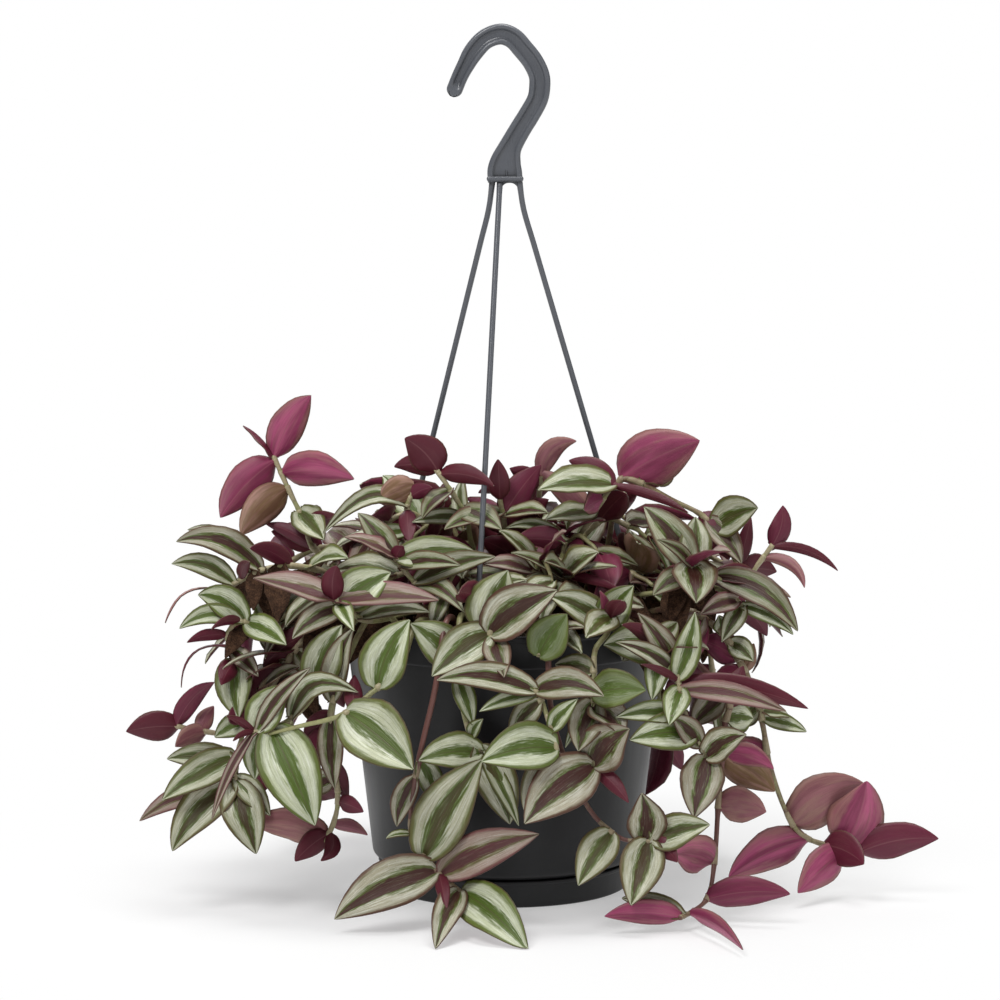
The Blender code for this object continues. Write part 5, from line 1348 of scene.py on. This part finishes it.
            ((7.6, -8.3, 13.5), (5.6, -10.0, 15.2), 0.8, "under", "burgundy"),
            ((6.6, -7.8, 14.2), (5.8, -6.4, 12.6), 1.6, "front", "olive"),
            ((7.4, -8.2, 13.6), (8.6, -7.0, 14.8), 1.2, "front", "olive"),
        ],
    },
    "right_canopy": {
        "stem": [(4.2, -2.6, 11.9), (4.6, -3.4, 15.0), (8.1, -5.4, 16.1), (9.3, -6.2, 17.4)],
        "leaves": [
            ((9.2, -6.2, 17.4), (6.9, -5.6, 20.4), 1.9, "front", "shade"),
            ((9.2, -6.2, 17.5), (7.6, -7.4, 18.9), 0.7, "front", "shade"),
            ((9.4, -6.2, 17.4), (9.5, -5.4, 19.8), 1.7, "front", "olive"),
            ((9.3, -6.2, 17.3), (9.4, -8.6, 15.9), 2.3, "front", "shade"),
            ((9.0, -6.0, 17.0), (7.3, -7.6, 16.2), 1.3, "up", "shade"),
            ((9.4, -6.2, 17.4), (11.1, -7.4, 18.5), 1.9, "up", "plum"),
        ],
    },
    "right_upper": {
        "stem": [(5.4, -1.4, 11.9), (6.0, -1.9, 15.2), (9.8, -4.0, 15.9), (10.6, -4.6, 16.6),
                 (11.9, -5.0, 15.2)],
        "leaves": [
            ((10.5, -4.6, 16.6), (14.6, -6.6, 14.2), 1.6, "front", "shade", (0.2, 0, 0.3)),
            ((11.7, -4.9, 15.5), (9.7, -7.0, 15.1), 1.1, "front", "plum"),
            ((11.9, -5.0, 15.2), (14.4, -6.4, 14.1), 0.9, "front", "green"),
            ((11.9, -5.0, 15.2), (10.8, -6.4, 13.6), 1.1, "front", "olive"),
            ((11.9, -5.0, 15.0), (13.2, -3.8, 13.6), 1.1, "under", "burgundy"),
            ((10.9, -4.7, 16.4), (14.4, -4.0, 15.5), 1.3, "up", "plum"),
            ((10.6, -4.6, 16.6), (13.0, -2.6, 15.7), 1.5, "under", "burgundy"),
        ],
    },
    "right_top": {
        "stem": [(4.9, 0.4, 11.9), (5.0, 0.0, 15.6), (5.4, -0.4, 18.5), (5.9, -1.0, 21.2),
                 (8.6, -1.2, 20.1), (10.5, -1.6, 19.0), (12.1, -2.0, 16.5)],
        "leaves": [
            ((5.9, -1.0, 21.2), (9.9, -1.8, 23.3), 3, "under", "rose"),
            ((10.7, -1.6, 18.8), (12.8, -3.6, 20.0), 2.1, "front", "olive"),
            ((10.5, -1.6, 19.4), (12.0, -3.2, 17.2), 1.4, "front", "dusty"),
            ((9.9, -1.5, 19.4), (11.4, -2.4, 17.2), 1.6, "under", "maroon"),
            ((12.1, -2.0, 16.6), (13.8, -0.6, 16.4), 1.5, "under", "burgundy"),
            ((6.9, -1.1, 20.9), (8.4, 1.4, 21.4), 2, "up", "tan"),
            ((12.0, -2.0, 17.0), (12.5, -1.0, 19.2), 0.8, "under", "burgundy"),
        ],
    },
    "right_sprig": {
        "stem": [(6.4, 0.2, 11.9), (7.0, 0.0, 14.8), (9.6, -1.0, 15.8), (11.8, -2.6, 15.6),
                 (12.8, -2.4, 16.9), (13.6, -2.4, 18.0)],
        "leaves": [
            ((13.6, -2.4, 17.9), (14.1, -2.4, 20.0), 1.1, "under", "burgundy"),
            ((13.5, -2.4, 17.9), (16.9, -2.8, 16.7), 0.5, "under", "burgundy", (0.1, 0, 0.2)),
            ((13.2, -2.4, 17.3), (15.2, -3.4, 15.9), 0.6, "under", "dusty", (0.3, 0, 0.3)),
            ((11.8, -2.6, 15.6), (9.8, -3.6, 17.4), 1.9, "up", "maroon"),
        ],
    },
    "right_long": {
        "stem": [(6.4, -3.2, 11.9), (6.8, -3.6, 14.4), (8.9, -4.8, 15.0), (10.7, -5.4, 14.1),
                 (11.7, -5.6, 12.6), (12.6, -5.6, 10.7), (13.0, -5.4, 9.0), (13.3, -5.2, 7.3),
                 (14.1, -4.8, 4.9), (15.0, -4.4, 3.4), (16.6, -4.2, 2.7), (18.2, -4.2, 2.4)],
        "leaves": [
            ((14.7, -4.6, 4.0), (18.2, -3.0, 5.8), 2.7, "under", "dusty"),
            ((17.1, -4.2, 2.6), (18.3, -4.8, 6.2), 2.9, "under", "pink"),
            ((18.0, -4.2, 2.3), (22.0, -4.6, 3.2), 1.9, "under", "burgundy"),
            ((17.3, -4.2, 2.5), (14.7, -6.4, 0.8), 1.9, "under", "magenta"),
            ((15.4, -4.3, 3.1), (11.2, -5.8, 1.5), 2.1, "under", "pink"),
            ((13.0, -5.5, 9.9), (14.4, -5.0, 9.6), 1.5, "up", "tan"),
            ((13.6, -5.3, 7.9), (10.6, -4.4, 6.7), 1.9, "under", "pink"),
            ((11.7, -5.6, 12.6), (9.8, -5.0, 13.5), 1.6, "under", "olive"),
            ((13.0, -5.4, 9.6), (15.2, -5.0, 8.8), 0.9, "front", "green"),
            ((12.0, -5.6, 12.1), (12.5, -4.6, 13.2), 0.9, "under", "tan"),
            ((10.5, -5.4, 13.6), (10.7, -5.8, 14.8), 0.9, "front", "green"),
            ((9.8, -5.2, 14.6), (8.6, -6.2, 13.2), 1.4, "front", "burgundy"),
            ((9.0, -4.8, 15.0), (7.4, -5.4, 15.9), 0.8, "front", "green"),
            ((9.4, -5.0, 14.8), (9.6, -6.4, 12.8), 1.3, "under", "plum"),
            ((16.2, -4.3, 2.9), (18.2, -6.2, 2.2), 1.8, "under", "burgundy"),
            ((12.0, -5.6, 12.0), (10.4, -5.0, 10.6), 1.4, "under", "burgundy"),
            ((11.2, -5.5, 13.4), (12.4, -6.2, 12.6), 1.2, "front", "tan"),
            ((12.8, -5.6, 10.2), (11.6, -5.0, 9.0), 1.3, "front", "olive"),
        ],
    },
    "right_trailing": {
        "stem": [(5.0, -5.6, 11.9), (5.2, -5.9, 14.2), (6.6, -7.2, 15.0), (10.8, -7.6, 11.4),
                 (10.9, -7.6, 9.4), (10.6, -7.8, 5.5), (10.4, -8.6, 3.0), (10.0, -10.0, 1.4),
                 (9.1, -11.2, 0.9), (8.5, -12.0, 0.8)],
        "leaves": [
            ((9.9, -10.1, 1.3), (14.0, -10.8, 1.7), 1.6, "under", "magenta"),
            ((8.6, -11.9, 0.9), (4.8, -12.4, 1.0), 1.3, "under", "magenta"),
            ((9.0, -11.3, 0.9), (11.4, -17.0, 0.4), 0.9, "under", "magenta"),
            ((10.3, -8.6, 2.8), (8.2, -9.8, 3.6), 2.1, "under", "rose"),
            ((10.7, -7.8, 5.5), (13.0, -8.4, 5.4), 1.9, "under", "dusty"),
            ((10.8, -7.6, 8.0), (13.4, -7.2, 6.2), 2.0, "under", "tan"),
            ((10.9, -7.6, 9.9), (12.4, -7.0, 9.8), 1.7, "front", "green"),
            ((10.8, -7.6, 8.2), (13.4, -8.2, 7.6), 1.2, "under", "pink"),
            ((8.7, -11.7, 0.9), (5.7, -11.2, 1.6), 1.1, "front", "tan"),
            ((10.8, -7.6, 11.0), (9.4, -6.8, 9.4), 1.5, "front", "maroon"),
            ((10.9, -7.6, 10.6), (11.8, -6.8, 12.4), 1.3, "under", "burgundy"),
        ],
    },
}

sprays = {  # short side shoots in the crown, written as the cuttings are
    "spray_front": {
        "stem": [(1.5, -4.6, 11.9), (1.8, -6.2, 14.8), (1.8, -8.4, 14.9), (1.6, -9.6, 13.4)],
        "leaves": [
            ((1.6, -9.6, 13.4), (3.0, -10.2, 15.6), 2.1, "front", "leafGreen"),
        ],
    },
    "spray_left": {
        "stem": [(-3.6, -1.4, 11.9), (-4.4, -2.2, 15.4), (-4.9, -3.2, 18.4), (-5.0, -3.8, 20.0),
                 (-4.6, -4.0, 21.2)],
        "leaves": [
            ((-5.0, -3.8, 20.2), (-9.2, -5.2, 18.9), 1.0, "front", "tan", (0.2, 0.0, 1.0)),
            ((-4.6, -4.0, 21.2), (-6.5, -4.4, 20.4), 1.5, "under", "tan"),
            ((-4.8, -3.8, 20.6), (-3.7, -4.6, 21.2), 0.8, "under", "burgundy"),
            ((-5.0, -3.8, 20.0), (-4.8, -5.6, 18.5), 0.9, "under", "burgundy"),
            ((-4.9, -3.4, 18.8), (-7.0, -4.6, 18.6), 0.9, "front", "green"),
        ],
    },
    "spray_back": {
        "stem": [(1.6, -0.4, 11.9), (1.9, -0.8, 16.5), (1.7, -1.4, 20.0), (1.8, -1.6, 21.4)],
        "leaves": [
            ((1.8, -1.6, 21.4), (3.6, -2.2, 23.3), 1.1, "under", "dusty", (-0.2, 0.0, 0.3)),
            ((1.7, -1.5, 20.8), (0.2, -2.4, 21.9), 1.0, "under", "burgundy"),
        ],
    },
    "spray_middle": {
        "stem": [(2.2, -2.0, 11.9), (2.6, -3.0, 16.0), (3.0, -3.8, 18.3)],
        "leaves": [
            ((3.0, -3.8, 18.3), (0.3, -5.0, 18.6), 1.3, "under", "burgundy"),
            ((3.0, -3.8, 18.3), (0.0, -4.4, 19.1), 0.7, "front", "olive", (0.0, 0.0, 0.4)),
            ((2.7, -3.3, 17.0), (0.3, -6.2, 18.1), 0.9, "front", "green"),
            ((2.8, -3.4, 17.4), (4.4, -4.6, 17.8), 1.0, "front", "maroon"),
        ],
    },
}

arches = {  # cuttings that arch over the rim: azimuth, root radius, height of the top, reach, end height
    "crown_back": (170, 1.6, 19.5, 6.5, 18.8),
    "crown_left": (-72, 2.6, 19.4, 7.0, 18.6),
    "crown_right": (78, 2.4, 19.0, 7.4, 18.2),
    "crown_back_left": (-128, 3.4, 19.0, 9.0, 17.4),
    "crown_back_right": (128, 3.2, 18.8, 9.4, 17.0),
    "arch_left": (-98, 4.4, 17.4, 13.4, 13.4),
    "arch_right": (98, 4.4, 17.4, 13.0, 14.0),
    "arch_back_left": (-140, 5.0, 16.8, 12.6, 12.0),
    "arch_back": (-170, 4.6, 17.2, 12.2, 13.0),
    "arch_back_right": (152, 5.2, 16.8, 12.4, 11.4),
    "hang_left": (-114, 6.4, 15.6, 12.6, 6.4),
    "hang_back_left": (-155, 6.6, 15.6, 12.2, 5.2),
    "hang_back": (178, 6.6, 15.4, 12.0, 4.6),
    "hang_back_right": (136, 6.6, 15.6, 12.2, 6.0),
    "hang_right": (114, 6.6, 15.4, 12.4, 7.2),
}

backArches = {  # more of the same over the back, on top of the planted ones
    "back_fill": (-163, 6.0, 16.6, 12.0, 8.6),
    "back_fill_left": (-127, 6.0, 16.4, 12.2, 9.4),
    "back_fill_right": (165, 6.0, 16.4, 12.0, 9.0),
    "back_fill_side": (123, 6.0, 16.4, 12.0, 10.0),
    "back_fill_middle": (-176, 5.2, 17.6, 11.4, 11.2),
    "back_fill_low": (148, 6.6, 15.8, 12.0, 7.4),
}

leafShape = {
    "arch": 0.06,  # height of the midrib's bow, as a share of the length
    "archSpread": (0.7, 1.5),
    "fold": 0.30,  # how far the edges rise from the midrib, as a share of the half width
    "foldSpread": (0.65, 1.3),
    "baseFold": (0.9, 0.2),  # more of it at the base, and the share of the length where that ends
    "outline": (0.58, 0.92, 0.3676),  # powers at the base and tip, and the greatest value
    "twist": 0.22,
    "curl": (-0.05, 0.10),
    "bulge": 0.10,
    "wave": 0.07,
    "waveSpread": (0.3, 1.6),
    "beats": (1.2, 2.6),
    "beatAngle": 6.283,
    "phase": (0, 6.28),
    "sideLag": 1.1,
    "toneSpread": (0.12, 0.08, 0.07),
    "thickness": 0.00055,
    "lowest": 0.0012,  # a leaf that reaches the floor lies on it
    "claspWidth": 0.0021,
    "claspEnd": 0.12,
    "steps": (14, 10),
    "farSteps": (8, 4),
    "guardRows": (7, 4),
    "guardSpan": (0.14, 0.85),  # where the guard starts along the leaf, and its length
    "floorGap": 0.0015,
}
stemShape = {
    "radius": 0.0016,
    "sides": 9,
    "taper": 0.38,
    "curveSteps": 6,
    "purple": 0.35,
    "ageFall": 0.25,
    "ageSpread": 0.04,
    "nodeSwelling": 0.30,
    "nodeLength": 0.0022,
    "sheathLength": 0.0085,
    "firstSheath": 0.35,
    "sheathMissing": 0.1,
    "sheath": (  # places along it, and its radius there as a share of the stem's
        (-1.0, 0.6), (-0.95, 1.05), (-0.6, 1.22), (0.0, 1.40), (0.12, 1.44), (0.14, 1.25), (0.0, 0.6),
    ),
    "plantedHeight": 11.7,
    "leafSpacing": 0.019,
    "leafLength": 0.042,
    "leafWidth": 0.022,
    "bareShare": 0.36,
    "bareEnd": 0.006,
}


def squareTo(axis, wanted, fallback):
    found = wanted - axis * wanted.dot(axis)
    if found.length < 0.2:
        found = fallback - axis * fallback.dot(axis)
    return found.normalized()


def within(dice, reach):
    return dice.uniform(-reach, reach)


class Leaf:
    # where it starts, its length and direction, and which way its upper face looks
    def __init__(self, base, tip, width, facing, dice, bow=(0, 0, 0)):
        chord = tip - base
        middle = base + 0.5 * chord
        outward = Vector((middle.x, middle.y, 0)).normalized()
        self.base = base
        self.chord = chord
        self.length = chord.length
        self.width = width
        axis = chord.normalized()
        looks = {
            "up": Vector((0, 0, 0.8)) + 0.6 * outward,
            "front": Vector((0, -1, 0.4)),
            "under": Vector((0, 1, 0.1)),
            "edge": axis.cross(Vector((0, 1, 0))) + Vector((0, 0, 0.1)),
        }
        self.normal = squareTo(axis, looks[facing], outward)
        rise = squareTo(axis, Vector((0, 0, 0.9)) + 0.4 * outward, outward)
        arch = leafShape["arch"] * dice.uniform(*leafShape["archSpread"]) * self.length
        self.bow = rise * arch + Vector(bow) * cm
        self.fold = leafShape["fold"] * dice.uniform(*leafShape["foldSpread"])
        self.twist = within(dice, leafShape["twist"])
        self.wave = leafShape["wave"] * dice.uniform(*leafShape["waveSpread"])
        self.beats = dice.uniform(*leafShape["beats"])
        self.phase = dice.uniform(*leafShape["phase"])
        self.curl = dice.uniform(*leafShape["curl"])

    def point(self, along, across):
        # along runs from 0 at the base to 1 at the tip, across from -1 to 1
        basePower, tipPower, greatest = leafShape["outline"]
        blade = 0.5 * self.width * along ** basePower * (1 - along) ** tipPower / greatest
        clasp = leafShape["claspWidth"] * max(0, 1 - along / leafShape["claspEnd"])
        half = max(blade, clasp)
        ahead = (self.chord + self.bow * (4 - 8 * along)).normalized()
        side = self.normal.cross(ahead).normalized()
        face = ahead.cross(side)
        turn = Matrix.Rotation(self.twist * along * along, 3, ahead)
        side = turn @ side
        face = turn @ face
        away = abs(across)
        more, ends = leafShape["baseFold"]
        cup = self.fold + more * max(0, 1 - along / ends) ** 2
        lag = leafShape["sideLag"] if across > 0 else 0
        swing = math.sin(leafShape["beatAngle"] * self.beats * along + self.phase + lag)
        lift = half * (cup * away ** 1.25 - leafShape["bulge"] * away * (1 - away)
                       + self.wave * swing * away ** 3)
        spine = self.base + self.chord * along + self.bow * (4 * along * (1 - along))
        spine -= face * (self.curl * self.length * along ** 4)
        spot = spine + side * (half * across) + face * lift
        spot.z = max(spot.z, leafShape["lowest"])
        return spot


def addLeaf(edit, leaf, tone, dice, steps):
    placeLayer = edit.verts.layers.float_vector["leafPlace"]
    toneLayer = edit.verts.layers.float_vector["leafTone"]
    stripe, blush, under = leafTones[tone]
    stripeSpread, blushSpread, underSpread = leafShape["toneSpread"]
    mixed = Vector((min(1, max(0, stripe + within(dice, stripeSpread))),
                    max(min(blush, 0), blush + within(dice, blushSpread)),
                    min(1, max(0, under + within(dice, underSpread)))))
    seed = dice.random()
    made = bmesh.ops.create_grid(edit, x_segments=steps[0], y_segments=steps[1], size=1)["verts"]
    tipVerts = []
    for vert in made:
        along = 0.5 - 0.5 * math.cos(math.pi * (vert.co.x + 1) / 2)
        across = vert.co.y
        if along > 0.9999:
            tipVerts.append(vert)
            along = 1.0
        vert.co = leaf.point(along, across)
        vert[placeLayer] = Vector((across, along, seed))
        vert[toneLayer] = mixed
    middle = min(tipVerts, key=lambda vert: abs(vert[placeLayer].x))
    bmesh.ops.weld_verts(edit, targetmap={vert: middle for vert in tipVerts if vert is not middle})


def newLeafShape():
    edit = bmesh.new()
    edit.verts.layers.float_vector.new("leafPlace")
    edit.verts.layers.float_vector.new("leafTone")
    return edit


placed = []  # the middle, reach and tree of every leaf so far
stemPaths = []  # each stem with its middle line


def guardOf(leaf):
    rows, columns = leafShape["guardRows"]
    start, span = leafShape["guardSpan"]
    points = [leaf.point(start + span * row / (rows - 1), 2 * column / (columns - 1) - 1)
              for row in range(rows) for column in range(columns)]
    faces = [(row * columns + column, row * columns + column + 1, (row + 1) * columns + column + 1,
              (row + 1) * columns + column) for row in range(rows - 1) for column in range(columns - 1)]
    middle = sum(points, Vector()) / len(points)
    reach = max((point - middle).length for point in points)
    return middle, reach, BVHTree.FromPolygons(points, faces)


def hasRoom(guard, ownName):
    middle, reach, tree = guard
    lowest = tree.find_nearest(Vector((middle.x, middle.y, -1.0)))[0]
    if lowest.z < leafShape["floorGap"]:
        return False
    for otherMiddle, otherReach, other in placed:
        if (otherMiddle - middle).length < reach + otherReach and tree.overlap(other):
            return False
    return not any(name != ownName and tree.overlap(other) for name, other in fixedTrees)


def nearestOn(path, place):
    best = None
    for index, (start, end) in enumerate(zip(path, path[1:])):
        along = end - start
        share = min(max((place - start).dot(along) / along.length_squared, 0), 1)
        spot = start + share * along
        if best is None or (spot - place).length < (best[0] - place).length:
            best = spot, index + share
    return best


def lengthsAlong(path):
    lengths = [0.0]
    for start, end in zip(path, path[1:]):
        lengths.append(lengths[-1] + (end - start).length)
    return lengths


def stemPiece(name, path, joints, purple, nodes, dice):
    # path in metres; joints are the places along it, in steps, that carry a leaf
    lengths = lengthsAlong(path)
    total = lengths[-1]

    def lengthAt(step):
        low = min(int(step), len(path) - 2)
        return lengths[low] + (lengths[low + 1] - lengths[low]) * (step - low)

    def placeAt(length):
        length = min(max(length, 0), total)
        index = next((i for i in range(1, len(lengths)) if lengths[i] >= length), len(lengths) - 1)
        share = (length - lengths[index - 1]) / max(lengths[index] - lengths[index - 1], 1e-9)
        return path[index - 1].lerp(path[index], min(1, share))

    def ageAt(length):
        older = purple + stemShape["ageFall"] * (0.5 - length / total)
        return min(1, max(0, older + within(dice, stemShape["ageSpread"])))

    def slimAt(length):
        return 1 - stemShape["taper"] * (length / total) ** 2

    marks = sorted(lengthAt(step) for step in joints)
    edit = bmesh.new()
    tone = edit.verts.layers.float_vector.new("stemTone")
    radii = []
    for length in lengths:
        swelling = sum(math.exp(-((length - mark) / stemShape["nodeLength"]) ** 2) for mark in marks)
        radii.append(stemShape["radius"] * slimAt(length)
                     * (1 + stemShape["nodeSwelling"] * min(1, swelling)))
    addTube(edit, path, radii, stemShape["sides"],
            lambda ring: Vector((ageAt(lengths[ring]), 0, lengths[ring] / total)), tone)
    sheathLength = stemShape["sheathLength"]
    for mark in marks:
        if mark < stemShape["firstSheath"] * sheathLength or dice.random() < stemShape["sheathMissing"]:
            continue
        slim = stemShape["radius"] * slimAt(mark)
        spots = [placeAt(mark + share * sheathLength) for share, _ in stemShape["sheath"]]
        spots = [spot + Vector((0, 0, 0.00001 * index)) for index, spot in enumerate(spots)]
        age = ageAt(mark)
        addTube(edit, spots, [slim * wide for _, wide in stemShape["sheath"]], stemShape["sides"],
                lambda ring, age=age: Vector((age, 1, mark / total)), tone)
    fixedTrees.append((name, BVHTree.FromBMesh(edit)))
    stemPaths.append((name, path))
    newPiece(name, edit, [finishes["stem"]], nodes)


def thicken(piece):
    thick = piece.modifiers.new("leafThickness", "SOLIDIFY")
    thick.thickness = leafShape["thickness"]
    thick.offset = -1
    return thick


def leavesPiece(name, edit, nodes):
    thick = thicken(newPiece(name, edit, [finishes["leafTop"], finishes["leafUnder"]], nodes))
    thick.material_offset = 1
    thick.material_offset_rim = 0
    thick.use_quality_normals = True


def makeCutting(name, cutting, seed, node):
    dice = random.Random(seed)
    path = smoothCurve([Vector(point) * cm for point in cutting["stem"]], stemShape["curveSteps"])
    edit = newLeafShape()
    joints = []
    for row in cutting["leaves"]:
        base, tip, width, facing, tone = row[:5]
        spot, step = nearestOn(path, Vector(base) * cm)
        joints.append(step)
        leaf = Leaf(spot, Vector(tip) * cm, width * cm, facing, dice, *row[5:])
        placed.append(guardOf(leaf))
        addLeaf(edit, leaf, tone, dice, leafShape["steps"])
    stemPiece(f"stem_{name}", path, joints, stemPurple.get(name, stemShape["purple"]), node, dice)
    leavesPiece(f"leaves_{name}", edit, node)


growth = {
    "archRise": (0.12, 0.62),  # a place along the reach, and the share of the climb done there
    "archPeak": 0.5,
    "archFall": (0.85, 0.35),  # the same for the way down
    "archSteps": 7,
    "archPurple": 0.5,
    "leafWidth": (0.85, 1.1),
    "tries": 14,
    "looseness": (0.12, 0.09),  # of a leaf's direction, and more with each try
    "looseHeight": 0.8,
    "shrinking": 0.02,
    "ahead": 0.55,
    "across": 0.85,
    "upwards": (0.05, 0.45),
    "sizes": (0.82, 1.12),
    "smallerAtEnd": 0.22,
    "spacingSpread": (0.85, 1.15),
    "endLeaves": ((0.45, 0.8), (-0.4, 0.6)),  # how far each turns aside, and its size
    "endRise": 0.15,
}


def archPath(azimuth, rootRadius, peak, reach, end):
    planted = stemShape["plantedHeight"]
    span = reach - rootRadius
    riseAt, rise = growth["archRise"]
    fallAt, fall = growth["archFall"]
    profile = [(rootRadius, planted), (rootRadius + riseAt * span, planted + rise * (peak - planted)),
               (rootRadius + growth["archPeak"] * span, peak),
               (rootRadius + fallAt * span, peak - fall * (peak - end)), (reach, end)]
    return smoothCurve([aroundPot(azimuth, radius, height) * cm for radius, height in profile],
                       growth["archSteps"])


def growLeaf(edit, place, direction, size, tone, dice, stemName):
    # tries a few directions until the leaf is clear of what is there
    length = stemShape["leafLength"] * size
    width = stemShape["leafWidth"] * size * dice.uniform(*growth["leafWidth"])
    facing = "under" if tone == "burgundy" else "up"
    least, more = growth["looseness"]
    for attempt in range(growth["tries"]):
        aside = Vector((within(dice, 1), within(dice, 1), within(dice, growth["looseHeight"])))
        turned = direction + (least + more * attempt) * aside
        shrink = 1 - growth["shrinking"] * attempt
        leaf = Leaf(place, place + turned.normalized() * length * shrink, width * shrink, facing, dice)
        guard = guardOf(leaf)
        if hasRoom(guard, stemName):
            placed.append(guard)
            addLeaf(edit, leaf, tone, dice, leafShape["farSteps"])
            return True
    return False


def growShoot(name, path, edit, tones, spacing, bareShare, dice, purple, nodes):
    # leaves in two rows along the stem, with a pair at its end
    lengths = lengthsAlong(path)
    joints = []
    side = dice.choice((-1, 1))
    at = bareShare * lengths[-1]
    stemName = f"stem_{name}"
    while at < lengths[-1] - stemShape["bareEnd"]:
        index = next(i for i, length in enumerate(lengths) if length > at) - 1
        tangent = (path[index + 1] - path[index]).normalized()
        place = path[index] + tangent * (at - lengths[index])
        across = tangent.cross(up)
        across = across.normalized() if across.length > 0.2 else aroundPot(dice.uniform(0, 360), 1, 0)
        direction = growth["ahead"] * tangent + growth["across"] * (across * side)
        direction = (direction + dice.uniform(*growth["upwards"]) * up).normalized()
        size = dice.uniform(*growth["sizes"]) * (1 - growth["smallerAtEnd"] * at / lengths[-1])
        if growLeaf(edit, place, direction, size, dice.choice(tones), dice, stemName):
            joints.append(index + (at - lengths[index]) / (lengths[index + 1] - lengths[index]))
        side = -side
        at += spacing * dice.uniform(*growth["spacingSpread"])
    tangent = (path[-1] - path[-2]).normalized()
    across = tangent.orthogonal().normalized()
    for turn, size in growth["endLeaves"]:
        direction = tangent + turn * across + growth["endRise"] * up
        growLeaf(edit, path[-1], direction, size, dice.choice(tones), dice, stemName)
    stemPiece(stemName, path, joints, purple, nodes, dice)


def makeArch(name, shape, seed, node):
    dice = random.Random(seed)
    edit = newLeafShape()
    growShoot(name, archPath(*shape), edit, crown["archTones"], stemShape["leafSpacing"],
              stemShape["bareShare"], dice, growth["archPurple"], node)
    leavesPiece(f"leaves_{name}", edit, node)


crown = {
    "archTones": ("green", "olive", "olive", "maroon", "plum", "burgundy"),
    "shoots": 54,
    "radius": 9.0,
    "height": 18.9,
    "fall": 3.0,
    "tones": ("olive", "maroon", "shade", "plum", "shade", "burgundy", "burgundy", "tan"),
    "frontLimit": -7.6,
    "frontDrop": 1.2,
    "turn": 137.5,
    "turnSpread": 12,
    "heightSpread": (-0.9, 0.5),
    "rootShare": 0.6,
    "rootLimit": 6.6,
    "endDrop": (0.1, 0.9),
    "beyond": 1.4,
    "leafSpacing": 0.015,
    "bareShare": 0.45,
    "purple": 0.55,
}


def makeCrown():
    # short shoots that fill the middle of the plant
    dice = random.Random(seeds["crown"])
    edit = newLeafShape()
    for index in range(crown["shoots"]):
        share = (index + 0.5) / crown["shoots"]
        radius = crown["radius"] * math.sqrt(share)
        azimuth = index * crown["turn"] + within(dice, crown["turnSpread"])
        height = crown["height"] - crown["fall"] * share + dice.uniform(*crown["heightSpread"])
        root = min(crown["rootShare"] * radius, crown["rootLimit"])
        end = height - dice.uniform(*crown["endDrop"])
        if aroundPot(azimuth, radius, 0).y < crown["frontLimit"]:
            height -= crown["frontDrop"]
            end -= crown["frontDrop"]
        path = archPath(azimuth, root, height, radius + crown["beyond"], end)
        growShoot(f"crown_{index}", path, edit, crown["tones"], crown["leafSpacing"], crown["bareShare"],
                  dice, crown["purple"], ())
    leavesPiece("crownLeaves", edit, ())


litter = {
    "leaves": 420,
    "length": (0.020, 0.036),
    "width": (0.008, 0.014),
    "lowest": 0.088,
    "highest": 0.172,
    "frontLimit": -0.062,
    "sideLimits": (-0.128, 0.104),
    "attempts": 16,
    "sway": 0.9,
    "crumpling": 4,
}


def makeLitter():
    # dry leaves that still hang on the stems, in the shade of the living ones
    dice = random.Random(seeds["litter"])
    edit = newLeafShape()
    hung = 0
    shaded = [(name, path) for name, path in stemPaths if not name.startswith("stem_crown")]
    for _ in range(litter["leaves"]):
        name, path = dice.choice(shaded)
        for _ in range(litter["attempts"]):
            spot = dice.choice(path)
            direction = Vector((within(dice, litter["sway"]), within(dice, litter["sway"]), -1)).normalized()
            length = dice.uniform(*litter["length"])
            width = dice.uniform(*litter["width"])
            if spot.y < litter["frontLimit"] or not litter["lowest"] < spot.z < litter["highest"]:
                continue
            if not litter["sideLimits"][0] < spot.x < litter["sideLimits"][1]:
                continue
            leaf = Leaf(spot, spot + direction * length, width, "front", dice)
            leaf.wave *= litter["crumpling"]
            leaf.twist *= litter["crumpling"]
            guard = guardOf(leaf)
            if hasRoom(guard, name):
                placed.append(guard)
                addLeaf(edit, leaf, "tan", dice, leafShape["farSteps"])
                hung += 1
                break
    thicken(newPiece("dryLeaves", edit, [finishes["litter"]]))
    print(hung, "dry leaves hang on the stems")


stemPurple = {
    "right_trailing": 0.95,
    "left_sprig": 0.6,
    "front_low": 1.0,
    "right_front_low": 0.9,
    "right_long": 0.6,
    "left_upper": 0.5,
    "right_top": 0.65,
}

for number, (name, cutting) in enumerate(cuttings.items()):
    makeCutting(name, cutting, seeds["cuttings"] + number, [f"cutting_{name}"])
for number, (name, cutting) in enumerate(sprays.items()):
    makeCutting(name, cutting, seeds["sprays"] + number, ())
print("the cuttings at the front and sides are planted")

for number, (name, shape) in enumerate(arches.items()):
    makeArch(name, shape, seeds["arches"] + number, [f"cutting_{name}"])
print("the arching cuttings are planted")

makeCrown()
makeLitter()
for number, (name, shape) in enumerate(backArches.items()):
    makeArch(name, shape, seeds["backArches"] + number, ())
print("the crown is filled,", len(placed), "leaves in all")
